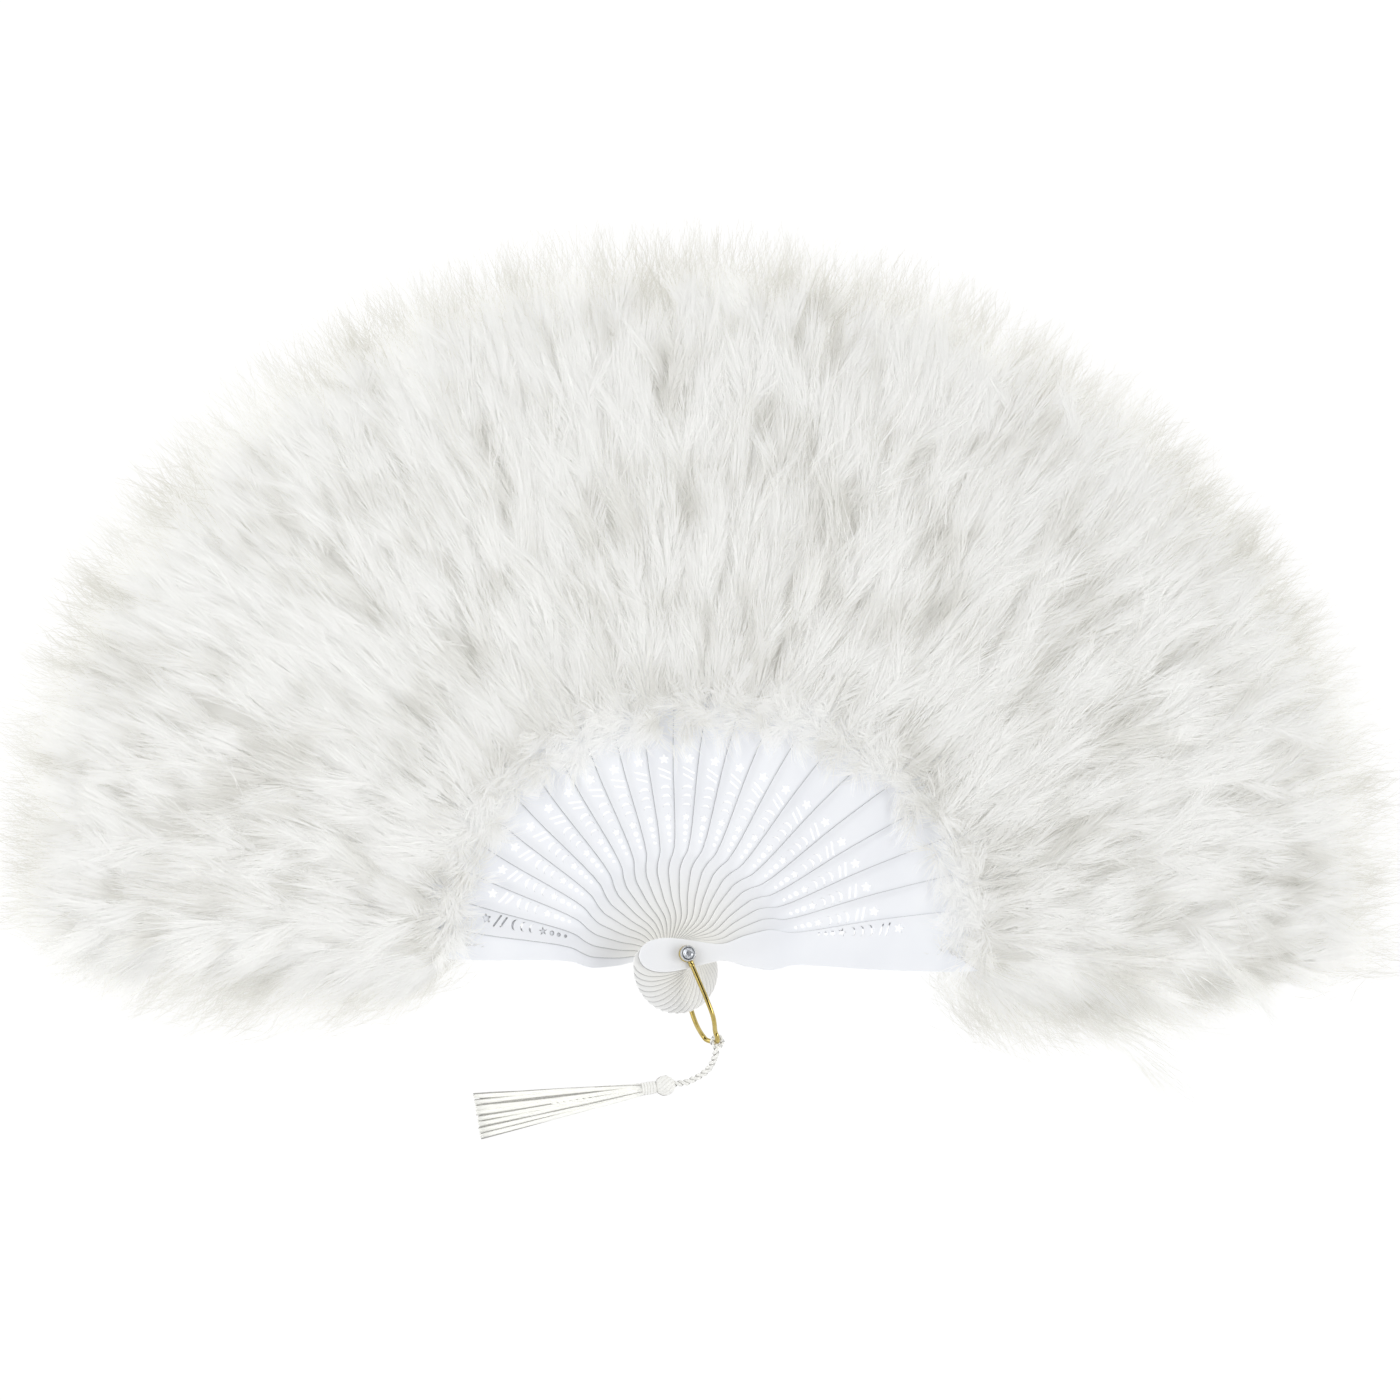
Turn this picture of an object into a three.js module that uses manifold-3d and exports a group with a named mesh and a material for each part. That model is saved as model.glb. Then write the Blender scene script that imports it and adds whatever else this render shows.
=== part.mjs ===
import * as THREE from 'three';
import { mergeVertices } from 'three/addons/utils/BufferGeometryUtils.js';
import Module from 'manifold-3d';

// Sizes are in millimetres and angles in degrees. The fan lies open on its back: +Z is up and
// the rivet stands on the origin.

// How far the fan is open: where the two guards point, counted from +X
const INNER_STICKS = 22;
const FRONT_ANGLE = 3.4;
const REAR_ANGLE = 174.4;

// Clearances: between neighbours, between stacked sticks, and round the rivet pin
const GAP = 0.3;
const LEAF_GAP = 0.15;
const PIN_GAP = 0.3;

// Sticks: lengths from the rivet axis, and half widths
const STICK_LENGTH = 170;
const STICK_THICK = 0.8;
const GUARD_THICK = 2;
const HEAD_HALF = 8.2;
const NECK_AT = 18;
const NECK_HALF = 4.1;
const SHOULDER_AT = 41;
const SHOULDER_HALF = 9.8;
const WAIST_AT = 52;
const WAIST_HALF = 7.9;
const BLADE_HALF = 14.8;

// Heads: their ends lie on one circle, whose middle is left of the rivet and below it, so the heads
// near the rear guard are the shorter ones; a guard's own head stops short of the circle
const HEADS_R = 22.5;
const HEADS_X = -3.2;
const HEADS_Y = -5.9;
const GUARD_SHORT = 2;

// Piercings: the line they follow, beside the stick's axis, and how the guard's row is moved
const PIERCE_START = 56;
const PIERCE_STEP = 5.3;
const PIERCE_SIDE = 3.3;
const PIERCE_SLANT = 0.0245;
const PIERCE_SIZE = 1;
const GUARD_SHIFT = 10;
const GUARD_SIDE = 3.4;

// Rivet
const PIN_R = 1.5;
const REAR_HEAD_R = 4.2;
const REAR_HEAD_THICK = 1.2;
const SETTING_R = 3.9;
const SETTING_TALL = 2.1;
const STONE_TALL = 1.4;

// Bail
const WIRE_R = 1.15;
const EYE_R = 3.7;
const BAIL_ANGLE = -67;
const BAIL_LENGTH = 45;
const BAIL_BOW = 4.3;
const BAIL_END_R = 4.5;

// Linking ribbon
const RIBBON_AT = 150;
const RIBBON_WIDE = 6;
const RIBBON_THICK = 0.4;

// Plumes: where the down starts, how far it reaches and how much farther to the right than to the
// left, and its loft over the sticks and at its tip
const PLUME_START = 104;
const PLUME_END = 347;
const PLUME_LEAN = 0.03;
const PLUME_LOFT = 15;
const PLUME_REST = 7;

// Near the front guard the down starts this much farther out, less with each of so many sticks
const FRONT_BARE = 26;
const BARE_STICKS = 11;

// How far below the guards the lobes of down hang
const LOBE_DROP = 54;

// Tassel
const CORD_R = 0.95;
const TASSEL_ANGLE = 189.6;
const KNOB_X = -6;
const KNOB_Y = -62.3;
const KNOB_R = 5;
const BAND_R = 3.2;
const BAND_LENGTH = 6.4;
const SKIRT_LENGTH = 81;
const SKIRT_HALF = 11.2;

const wasm = await Module();
wasm.setup();

const STICKS = INNER_STICKS + 2;
const PITCH = (REAR_ANGLE - FRONT_ANGLE) / (STICKS - 1);
const rad = THREE.MathUtils.degToRad;
const group = new THREE.Group();

const PLASTIC = { color: 0xf3f3f8, roughness: 0.35, metalness: 0 };
const DOWN = { color: 0xf6f5f1, roughness: 0.95, metalness: 0 };
const THREAD = { color: 0xf7f5ef, roughness: 0.6, metalness: 0 };
const SATIN = { color: 0xf4f2ee, roughness: 0.5, metalness: 0 };
const GOLD = { color: 0xd9b45e, roughness: 0.25, metalness: 1 };
const SILVER = { color: 0xc9ccd0, roughness: 0.2, metalness: 1 };
const STONE = { color: 0x8f949c, roughness: 0.08, metalness: 0 };

// Levels of the stack, from the rear head of the rivet up
const EYE_THICK = 2 * WIRE_R;
const REAR_EYE_Z = REAR_HEAD_THICK + GAP;
const REAR_GUARD_Z = REAR_EYE_Z + EYE_THICK + GAP;

function bottomOf(index) {
  if (index === 0) {
    return REAR_GUARD_Z;
  }
  return REAR_GUARD_Z + GUARD_THICK + LEAF_GAP + (index - 1) * (STICK_THICK + LEAF_GAP);
}

function thickOf(index) {
  return index === 0 || index === STICKS - 1 ? GUARD_THICK : STICK_THICK;
}

function topOf(index) {
  return bottomOf(index) + thickOf(index);
}

function angleOf(index) {
  return REAR_ANGLE - index * PITCH;
}

const FRONT_EYE_Z = topOf(STICKS - 1) + GAP;
const SETTING_Z = FRONT_EYE_Z + EYE_THICK + GAP;
const HOLE_R = (PIN_R + PIN_GAP) / Math.cos(Math.PI / 8);

// Adds one named mesh, its vertices welded
function add(name, geometry, look) {
  geometry.deleteAttribute('normal');
  geometry.deleteAttribute('uv');
  const welded = mergeVertices(geometry, 1e-4);
  welded.computeVertexNormals();
  const mesh = new THREE.Mesh(welded, new THREE.MeshStandardMaterial(look));
  mesh.name = name;
  group.add(mesh);
}

// A solid for joining, and a geometry back from it
function solid(geometry) {
  geometry.deleteAttribute('normal');
  geometry.deleteAttribute('uv');
  const welded = mergeVertices(geometry, 1e-4);
  const mesh = new wasm.Mesh({
    numProp: 3,
    vertProperties: new Float32Array(welded.attributes.position.array),
    triVerts: new Uint32Array(welded.index.array),
  });
  return new wasm.Manifold(mesh);
}

function geometryOf(manifold) {
  const mesh = manifold.getMesh();
  const geometry = new THREE.BufferGeometry();
  geometry.setAttribute('position', new THREE.BufferAttribute(new Float32Array(mesh.vertProperties), 3));
  geometry.setIndex(new THREE.BufferAttribute(new Uint32Array(mesh.triVerts), 1));
  return geometry;
}

// The volume inside a list of triangles, below zero where they face inwards
function volume(position, index) {
  const corner = (k) => new THREE.Vector3().fromArray(position, 3 * index[k]);
  let total = 0;
  for (let k = 0; k < index.length; k += 3) {
    total += corner(k).dot(corner(k + 1).cross(corner(k + 2))) / 6;
  }
  return total;
}

// A closed body through rings of points; flat lists, one for each ring, give the end faces
function loft(rings, flats) {
  const count = rings[0].length;
  const position = rings.flat().flatMap((point) => point.toArray());
  const index = [];
  for (let s = 0; s + 1 < rings.length; s += 1) {
    for (let k = 0; k < count; k += 1) {
      const next = (k + 1) % count;
      const a = s * count + k;
      const b = s * count + next;
      index.push(a, b, b + count);
      index.push(a, b + count, a + count);
    }
  }
  const last = (rings.length - 1) * count;
  for (const [i, j, k] of THREE.ShapeUtils.triangulateShape(flats[0], [])) {
    index.push(k, j, i);
  }
  for (const [i, j, k] of THREE.ShapeUtils.triangulateShape(flats[flats.length - 1], [])) {
    index.push(last + i, last + j, last + k);
  }
  if (volume(position, index) < 0) {
    index.reverse();
  }
  const geometry = new THREE.BufferGeometry();
  geometry.setAttribute('position', new THREE.Float32BufferAttribute(position, 3));
  geometry.setIndex(index);
  return geometry;
}

// A body of revolution about Z from a profile of [radius, height]
function turned(profile, sides) {
  const points = profile.map(([r, z]) => new THREE.Vector2(r, z));
  const geometry = new THREE.LatheGeometry(points, sides);
  geometry.rotateX(Math.PI / 2);
  return geometry;
}

// A round section swept along a curve
function swept(curve, radius, sides, steps) {
  const shape = new THREE.Shape();
  for (let k = 0; k < sides; k += 1) {
    const a = (2 * Math.PI * (k + 0.5)) / sides;
    const x = radius * Math.cos(a);
    const y = radius * Math.sin(a);
    if (k === 0) {
      shape.moveTo(x, y);
    } else {
      shape.lineTo(x, y);
    }
  }
  return new THREE.ExtrudeGeometry(shape, { extrudePath: curve, steps, bevelEnabled: false });
}

// The line that a blade is centred on: the axis for a guard, and for an inner stick its row of
// piercings, so that the stick below leaves them clear
function centreAt(x, guard) {
  if (guard) {
    return 0;
  }
  const slant = PIERCE_SLANT * Math.max(0, x - PIERCE_START);
  return THREE.MathUtils.smoothstep(x, NECK_AT, PIERCE_START) * (PIERCE_SIDE + slant);
}

// How far a stick's head reaches past the rivet
function headOf(index) {
  const way = rad(angleOf(index) + 180);
  const along = HEADS_X * Math.cos(way) + HEADS_Y * Math.sin(way);
  const aside = HEADS_X * Math.sin(way) - HEADS_Y * Math.cos(way);
  const short = index === 0 || index === STICKS - 1 ? GUARD_SHORT : 0;
  return along + Math.sqrt(HEADS_R * HEADS_R - aside * aside) - short;
}

// A stick's outline as [x, y of its right edge, y of its left edge], from its head to its tip
function outline(head, guard) {
  const bladeAt = 0.85 * STICK_LENGTH;
  const left = [
    [-0.94 * head, 0.46 * HEAD_HALF],
    [-0.78 * head, 0.83 * HEAD_HALF],
    [-0.5 * head, HEAD_HALF],
    [-0.2 * head, 0.95 * HEAD_HALF],
    [0.3 * NECK_AT, 0.72 * HEAD_HALF],
    [NECK_AT, NECK_HALF],
    [0.55 * NECK_AT + 0.45 * SHOULDER_AT, 0.45 * NECK_HALF + 0.55 * SHOULDER_HALF],
    [0.12 * NECK_AT + 0.88 * SHOULDER_AT, 0.96 * SHOULDER_HALF],
    [SHOULDER_AT, SHOULDER_HALF],
    [0.6 * SHOULDER_AT + 0.4 * WAIST_AT, 0.75 * SHOULDER_HALF + 0.25 * WAIST_HALF],
    [WAIST_AT, WAIST_HALF],
    [0.5 * WAIST_AT + 0.5 * bladeAt, 0.35 * WAIST_HALF + 0.65 * BLADE_HALF],
    [bladeAt, BLADE_HALF],
  ];
  const edges = left.map(([x, y]) => [x, 2 * centreAt(x, guard) - y, y]);
  const half = BLADE_HALF - centreAt(bladeAt, guard);
  for (const [along, share] of [
    [0.96, 0.86],
    [0.995, 0.5],
  ]) {
    const x = along * STICK_LENGTH;
    edges.push([x, centreAt(x, guard) - share * half, centreAt(x, guard) + share * half]);
  }
  return edges;
}

function path(points) {
  return new THREE.Path(points.map(([x, y]) => new THREE.Vector2(x, y)));
}

// The cut-outs: a round dot, a star, a crescent with its horns towards the rivet, and a slanted bar
function dot(x, y, r, sides) {
  const points = [];
  for (let k = 0; k < sides; k += 1) {
    const a = (2 * Math.PI * (k + 0.5)) / sides;
    points.push([x + r * Math.cos(a), y + r * Math.sin(a)]);
  }
  return path(points);
}

function star(x, y, outer, inner) {
  const points = [];
  for (let k = 0; k < 10; k += 1) {
    const a = (2 * Math.PI * k) / 10;
    const r = k % 2 ? inner : outer;
    points.push([x + r * Math.cos(a), y + r * Math.sin(a)]);
  }
  return path(points);
}

function crescent(x, y, half) {
  return path([
    [x - 0.45 * half, y - half],
    [x + 0.4 * half, y - 0.45 * half],
    [x + 0.4 * half, y + 0.45 * half],
    [x - 0.45 * half, y + half],
    [x - 0.12 * half, y],
  ]);
}

function bar(x, y, half, flip) {
  const lean = 0.42 * half * flip;
  const wide = 0.55 * PIERCE_SIZE;
  return path([
    [x - lean - wide, y - half],
    [x - lean + wide, y - half],
    [x + lean + wide, y + half],
    [x + lean - wide, y + half],
  ]);
}

function piercings(side, shift, flip) {
  const line = (step) => flip * (side + PIERCE_SLANT * step * PIERCE_STEP);
  const at = (step) => PIERCE_START + shift + step * PIERCE_STEP;
  const cuts = [];
  const dots = [0.85, 1, 1.3];
  for (let k = 0; k < dots.length; k += 1) {
    const step = 0.64 * k;
    cuts.push(dot(at(step), line(step), dots[k] * PIERCE_SIZE, 5));
  }
  cuts.push(star(at(2.13), line(2.13), 2.2 * PIERCE_SIZE, 1.05 * PIERCE_SIZE));
  const crescents = [2, 2.3, 2.6];
  for (let k = 0; k < crescents.length; k += 1) {
    const step = 3.3 + 0.81 * k;
    cuts.push(crescent(at(step), line(step), crescents[k] * PIERCE_SIZE));
  }
  const bars = [2.8, 3.2];
  for (let k = 0; k < bars.length; k += 1) {
    const step = 5.85 + 0.6 * k;
    cuts.push(bar(at(step), line(step), bars[k] * PIERCE_SIZE, flip));
  }
  cuts.push(star(at(7.5), line(7.5), 2.6 * PIERCE_SIZE, 1.6 * PIERCE_SIZE));
  return cuts;
}

function stick(index) {
  const guard = index === 0 || index === STICKS - 1;
  const head = headOf(index);
  const edges = outline(head, guard);
  const shape = new THREE.Shape([
    new THREE.Vector2(-head, 0),
    ...edges.map(([x, right]) => new THREE.Vector2(x, right)),
    new THREE.Vector2(STICK_LENGTH, centreAt(STICK_LENGTH, guard)),
    ...edges.reverse().map(([x, , left]) => new THREE.Vector2(x, left)),
  ]);
  shape.holes.push(dot(0, 0, HOLE_R, 8));
  const side = guard ? PIERCE_SIDE + GUARD_SIDE : PIERCE_SIDE;
  const shift = guard ? GUARD_SHIFT : 0;
  shape.holes.push(...piercings(side, shift, index === 0 ? -1 : 1));
  const geometry = new THREE.ExtrudeGeometry(shape, { depth: thickOf(index), bevelEnabled: false });
  geometry.translate(0, 0, bottomOf(index));
  geometry.rotateZ(rad(angleOf(index)));
  return geometry;
}

// One plume: a wedge of down that wraps the upper part of its stick, open towards the rivet
function plume(index) {
  const first = index === 0;
  const last = index === STICKS - 1;
  const above = topOf(Math.min(index + 1, STICKS - 1)) + GAP + RIBBON_THICK + GAP;
  const below = bottomOf(Math.max(index - 1, 0)) - GAP;
  const slot = STICK_LENGTH + GAP;
  const nearFront = Math.max(0, 1 - (STICKS - 1 - index) / BARE_STICKS);
  const start = PLUME_START + FRONT_BARE * Math.sin((Math.PI / 2) * nearFront);
  const end = PLUME_END * (1 + PLUME_LEAN * Math.cos(rad(angleOf(index))));
  const half = Math.tan(rad(PITCH / 2));
  const inset = GAP / 2 / Math.cos(rad(PITCH / 2));
  // height of the upper side and of the underside, by the share of the plume's length
  const upper = [
    [0.97, 0.42],
    [0.88, 0.72],
    [0.72, 0.93],
    [0.5, 1],
    [0.3, 0.96],
    [0.12, 0.66],
    [0, 0.14],
  ];
  const droop = (share) => THREE.MathUtils.smoothstep(share, 0.3, 1);
  const section = (from, to, loftShare) => {
    const long = to - from;
    const base = (share) => THREE.MathUtils.lerp(above, PLUME_REST, droop(share));
    const points = [
      [from, below],
      [from + 0.02 * long, Math.max(0.55 * below, below - 3)],
      [from + 0.14 * long, 0],
      [from + 0.86 * long, 0],
      [to - 0.02 * long, 0.5 * PLUME_REST],
      [to, PLUME_REST],
    ];
    for (const [share, tall] of upper) {
      points.push([from + share * long, base(share) + tall * PLUME_LOFT * loftShare]);
    }
    points.push([from, above]);
    points.push([slot, above]);
    points.push([slot, below]);
    return points;
  };
  const ring = (from, to, loftShare, side) => {
    const flat = section(from, to, loftShare);
    const points = flat.map(([x, z]) => new THREE.Vector3(x, side(x), z));
    return { points, flat: flat.map(([x, z]) => new THREE.Vector2(x, z)) };
  };
  const wedge = (way) => ring(start + 3, end - 9, 0.82, (x) => way * (x * half - inset));
  const lobe = (share) => {
    const from = start + 10 + 26 * share * share;
    const to = end - 9 - 72 * share * share;
    const way = first ? 1 : -1;
    return ring(from, to, 0.95 - 0.5 * share, () => way * LOBE_DROP * share);
  };
  const right = last ? [lobe(1), lobe(0.55)] : [wedge(-1)];
  const left = first ? [lobe(0.55), lobe(1)] : [wedge(1)];
  const rings = [...right, ring(start, end, 1, () => 0), ...left];
  const geometry = loft(
    rings.map((one) => one.points),
    rings.map((one) => one.flat),
  );
  geometry.rotateZ(rad(angleOf(index)));
  return geometry;
}

for (let index = 0; index < STICKS; index += 1) {
  const number = String(index).padStart(2, '0');
  let name = `stick_${number}`;
  let down = `plume_${number}`;
  if (index === 0) {
    name = 'rear_guard';
    down = 'plume_rear';
  }
  if (index === STICKS - 1) {
    name = 'front_guard';
    down = 'plume_front';
  }
  add(name, stick(index), PLASTIC);
  add(down, plume(index), DOWN);
}

// The ribbon lies over the sticks and climbs one step just before each stick's edge
function ribbon() {
  const spread = THREE.MathUtils.radToDeg(Math.asin(BLADE_HALF / (RIBBON_AT - RIBBON_WIDE)));
  const stops = [[angleOf(0), topOf(0)]];
  for (let index = 1; index < STICKS; index += 1) {
    const edge = angleOf(index) + spread;
    if (edge + 0.8 < angleOf(0)) {
      stops.push([edge + 0.8, topOf(index - 1)]);
    }
    if (edge + 0.25 < angleOf(0)) {
      stops.push([edge + 0.25, topOf(index)]);
    } else {
      stops[0][1] = topOf(index);
    }
  }
  stops.push([angleOf(STICKS - 1), topOf(STICKS - 1)]);
  const inner = RIBBON_AT - RIBBON_WIDE / 2;
  const outer = RIBBON_AT + RIBBON_WIDE / 2;
  const corners = [
    [inner, 0],
    [outer, 0],
    [outer, RIBBON_THICK],
    [inner, RIBBON_THICK],
  ];
  const flat = corners.map(([r, z]) => new THREE.Vector2(r, z));
  const rings = stops.map(([angle, under]) => corners.map(([r, z]) => {
    const a = rad(angle);
    return new THREE.Vector3(r * Math.cos(a), r * Math.sin(a), under + GAP + z);
  }));
  return loft(rings.reverse(), rings.map(() => flat));
}

add('linking_ribbon', ribbon(), SATIN);

// Rivet: a pin with a rear head, a cup on its front end, and the stone in the cup
const SOCKET = 0.48 * SETTING_TALL;
const SEAT = 0.7 * SETTING_TALL;
add('rivet_pin', turned([
  [0, 0],
  [0.9 * REAR_HEAD_R, 0],
  [REAR_HEAD_R, 0.3 * REAR_HEAD_THICK],
  [REAR_HEAD_R, 0.75 * REAR_HEAD_THICK],
  [0.88 * REAR_HEAD_R, REAR_HEAD_THICK],
  [PIN_R, REAR_HEAD_THICK],
  [PIN_R, SETTING_Z + SOCKET - GAP],
  [0, SETTING_Z + SOCKET - GAP],
], 16), SILVER);
add('rivet_setting', turned([
  [0, SETTING_Z + SOCKET],
  [PIN_R + PIN_GAP, SETTING_Z + SOCKET],
  [PIN_R + PIN_GAP, SETTING_Z],
  [0.9 * SETTING_R, SETTING_Z],
  [SETTING_R, SETTING_Z + 0.2 * SETTING_TALL],
  [SETTING_R, SETTING_Z + 0.8 * SETTING_TALL],
  [0.9 * SETTING_R, SETTING_Z + SETTING_TALL],
  [0.8 * SETTING_R, SETTING_Z + 0.96 * SETTING_TALL],
  [0.76 * SETTING_R, SETTING_Z + SEAT],
  [0, SETTING_Z + SEAT],
], 20), SILVER);
const STONE_Z = SETTING_Z + SEAT + 0.5 * GAP;
const STONE_R = 0.76 * SETTING_R - GAP;
add('rivet_stone', turned([
  [0, STONE_Z],
  [STONE_R, STONE_Z],
  [STONE_R, STONE_Z + 0.4 * STONE_TALL],
  [0.6 * STONE_R, STONE_Z + STONE_TALL],
  [0, STONE_Z + STONE_TALL],
], 8), STONE);

// Bail: a wire hoop round the stack with an eye at each end
const REAR_WIRE_Z = REAR_EYE_Z + WIRE_R;
const FRONT_WIRE_Z = FRONT_EYE_Z + WIRE_R;
const BAIL_MID_Z = 0.5 * (REAR_WIRE_Z + FRONT_WIRE_Z);
const HEADS_REACH = HEADS_R + Math.hypot(HEADS_X, HEADS_Y);
const CLEAR = HEADS_REACH + 2 * WIRE_R + GAP;

function eye(under) {
  const shape = new THREE.Shape(dot(0, 0, EYE_R, 16).getPoints());
  shape.holes.push(dot(0, 0, HOLE_R, 8));
  const geometry = new THREE.ExtrudeGeometry(shape, { depth: EYE_THICK, bevelEnabled: false });
  geometry.translate(0, 0, under);
  return solid(geometry);
}

function bail() {
  const from = 0.5 * (HOLE_R + EYE_R);
  const bend = BAIL_LENGTH - BAIL_END_R;
  // the rear arm bows out to the left
  const at = (u, z, bow) => new THREE.Vector3(u, -bow * BAIL_BOW, z);
  const stops = [at(from, FRONT_WIRE_Z, 0), at(CLEAR, FRONT_WIRE_Z, 0)];
  for (let k = 0; k <= 10; k += 1) {
    const a = Math.PI / 2 - (Math.PI * k) / 10;
    const bow = Math.max(0, -Math.sin(a)) ** 2;
    stops.push(at(bend + BAIL_END_R * Math.cos(a), BAIL_MID_Z + BAIL_END_R * Math.sin(a), bow));
  }
  stops.push(at(CLEAR, REAR_WIRE_Z, 0.78), at(from, REAR_WIRE_Z, 0));
  const wire = new THREE.CatmullRomCurve3(stops, false, 'centripetal');
  const body = solid(swept(wire, WIRE_R, 8, 40));
  const joined = body.add(eye(FRONT_EYE_Z)).add(eye(REAR_EYE_Z));
  const geometry = geometryOf(joined);
  geometry.rotateZ(rad(BAIL_ANGLE));
  return geometry;
}

add('bail', bail(), GOLD);

// Tassel: a cord looped on the bail, then a ball knot, a wrapped neck and a skirt of threads
const ALONG = new THREE.Vector3(Math.cos(rad(TASSEL_ANGLE)), Math.sin(rad(TASSEL_ANGLE)), 0);
const KNOB = new THREE.Vector3(KNOB_X, KNOB_Y, KNOB_R + 0.5 * GAP);
const HANG = new THREE.Vector3(
  BAIL_LENGTH * Math.cos(rad(BAIL_ANGLE)),
  BAIL_LENGTH * Math.sin(rad(BAIL_ANGLE)),
  BAIL_MID_Z,
);

function cord() {
  const loopR = WIRE_R + GAP + 1.1 * CORD_R;
  const loop = new THREE.TorusGeometry(loopR, CORD_R, 8, 18);
  loop.translate(HANG.x, HANG.y, HANG.z);
  const end = KNOB.clone().addScaledVector(ALONG, -KNOB_R - GAP);
  const out = new THREE.Vector3(-0.1, -1, 0).normalize();
  const begin = HANG.clone().addScaledVector(out, loopR);
  const before = end.clone().addScaledVector(ALONG, -6);
  const mid = begin.clone().lerp(before, 0.5);
  const stops = [
    begin,
    begin.clone().addScaledVector(out, 2.5),
    new THREE.Vector3(mid.x + 3.2, mid.y - 2.4, 0.56 * HANG.z),
    before,
    end,
  ];
  const curve = new THREE.CatmullRomCurve3(stops, false, 'centripetal');
  return geometryOf(solid(loop).add(solid(swept(curve, CORD_R, 8, 18))));
}

add('tassel_cord', cord(), THREAD);

// Lays a turned body along the tassel, its zero at a distance past the knob's middle
function lay(geometry, past) {
  geometry.rotateY(Math.PI / 2);
  geometry.rotateZ(rad(TASSEL_ANGLE));
  const place = KNOB.clone().addScaledVector(ALONG, past);
  geometry.translate(place.x, place.y, place.z);
  return geometry;
}

const knob = turned([
  [0, -KNOB_R],
  [0.45 * KNOB_R, -0.92 * KNOB_R],
  [0.83 * KNOB_R, -0.58 * KNOB_R],
  [KNOB_R, -0.05 * KNOB_R],
  [0.9 * KNOB_R, 0.48 * KNOB_R],
  [0.6 * KNOB_R, 0.88 * KNOB_R],
  [0, KNOB_R],
], 14);
add('tassel_head', lay(knob, 0), THREAD);

const BAND_FROM = KNOB_R + GAP;
const band = turned([
  [0, 0],
  [0.86 * BAND_R, 0],
  [BAND_R, 0.18 * BAND_LENGTH],
  [BAND_R, 0.82 * BAND_LENGTH],
  [0.86 * BAND_R, BAND_LENGTH],
  [0, BAND_LENGTH],
], 14);
add('tassel_band', lay(band, BAND_FROM), THREAD);

// The skirt: flat oval sections that widen and settle on the table
function skirt() {
  const rings = [];
  const flats = [];
  const stops = [
    [0, 0.26, 0.92 * BAND_R],
    [0.07, 0.36, BAND_R],
    [0.25, 0.55, 0.94 * BAND_R],
    [0.5, 0.76, 0.86 * BAND_R],
    [0.78, 0.93, 0.72 * BAND_R],
    [0.95, 1, 0.58 * BAND_R],
    [1, 0.97, 0.5 * BAND_R],
  ];
  for (const [share, wide, tall] of stops) {
    const settle = THREE.MathUtils.smoothstep(share, 0, 0.6);
    const mid = THREE.MathUtils.lerp(KNOB.z, tall + 0.5 * GAP, settle);
    const points = [];
    const flat = [];
    for (let k = 0; k < 14; k += 1) {
      const a = (2 * Math.PI * k) / 14;
      const y = wide * SKIRT_HALF * Math.cos(a);
      const z = tall * Math.sin(a);
      points.push(new THREE.Vector3(share * SKIRT_LENGTH, y, z + mid));
      flat.push(new THREE.Vector2(y, z));
    }
    rings.push(points);
    flats.push(flat);
  }
  const geometry = loft(rings, flats);
  geometry.rotateZ(rad(TASSEL_ANGLE));
  const place = KNOB.clone().addScaledVector(ALONG, BAND_FROM + BAND_LENGTH + GAP);
  geometry.translate(place.x, place.y, 0);
  return geometry;
}

add('tassel_skirt', skirt(), THREAD);

export default group;
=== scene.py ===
# %% [markdown]
# # A folding fan edged with white down
#
# The real object is a costume fan. Two guards and twenty-two thin pierced sticks turn on one rivet, and a
# plume of marabou down is tied to the outer half of every stick. A gold wire bail straddles the sticks at the
# rivet and carries a white thread tassel.
#
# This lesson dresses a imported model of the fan. The model gives the bodies and joints, and each piece made
# here rides on one of those bodies, so the fan still folds.

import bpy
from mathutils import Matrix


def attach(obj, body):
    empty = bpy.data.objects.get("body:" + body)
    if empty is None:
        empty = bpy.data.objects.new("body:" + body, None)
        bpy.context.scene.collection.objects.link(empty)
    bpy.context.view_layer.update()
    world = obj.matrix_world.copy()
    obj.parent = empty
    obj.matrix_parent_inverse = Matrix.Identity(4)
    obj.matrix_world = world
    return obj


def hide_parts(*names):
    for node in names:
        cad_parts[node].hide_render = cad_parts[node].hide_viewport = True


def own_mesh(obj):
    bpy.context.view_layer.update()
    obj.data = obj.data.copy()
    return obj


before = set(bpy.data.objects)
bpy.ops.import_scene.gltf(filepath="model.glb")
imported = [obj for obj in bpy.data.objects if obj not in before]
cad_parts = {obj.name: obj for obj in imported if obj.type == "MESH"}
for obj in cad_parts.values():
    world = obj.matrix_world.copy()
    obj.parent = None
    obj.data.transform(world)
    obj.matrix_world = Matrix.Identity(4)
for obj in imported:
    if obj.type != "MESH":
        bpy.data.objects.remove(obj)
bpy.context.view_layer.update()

# %% Modules used below
import math

import bpy
import numpy as np
from mathutils import Matrix, Vector

# %% [markdown]
# ## Sizes
#
# The dressing has to land on the model, so it repeats the model's sizes. They are in millimetres, and are
# turned into metres where a mesh, a curve or a declared size is made.

# %% Sizes shared with the model
INNER_STICKS = 22
STICKS = INNER_STICKS + 2
FRONT_ANGLE, REAR_ANGLE = 3.4, 174.4
PITCH = (REAR_ANGLE - FRONT_ANGLE) / (STICKS - 1)
GAP, LEAF_GAP, PIN_GAP = 0.3, 0.15, 0.3
STICK_LENGTH, STICK_THICK, GUARD_THICK = 170, 0.8, 2
WIRE_R, PIN_R = 1.15, 1.5
REAR_HEAD_THICK = 1.2
REAR_EYE_Z = REAR_HEAD_THICK + GAP
REAR_GUARD_Z = REAR_EYE_Z + 2 * WIRE_R + GAP

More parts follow.
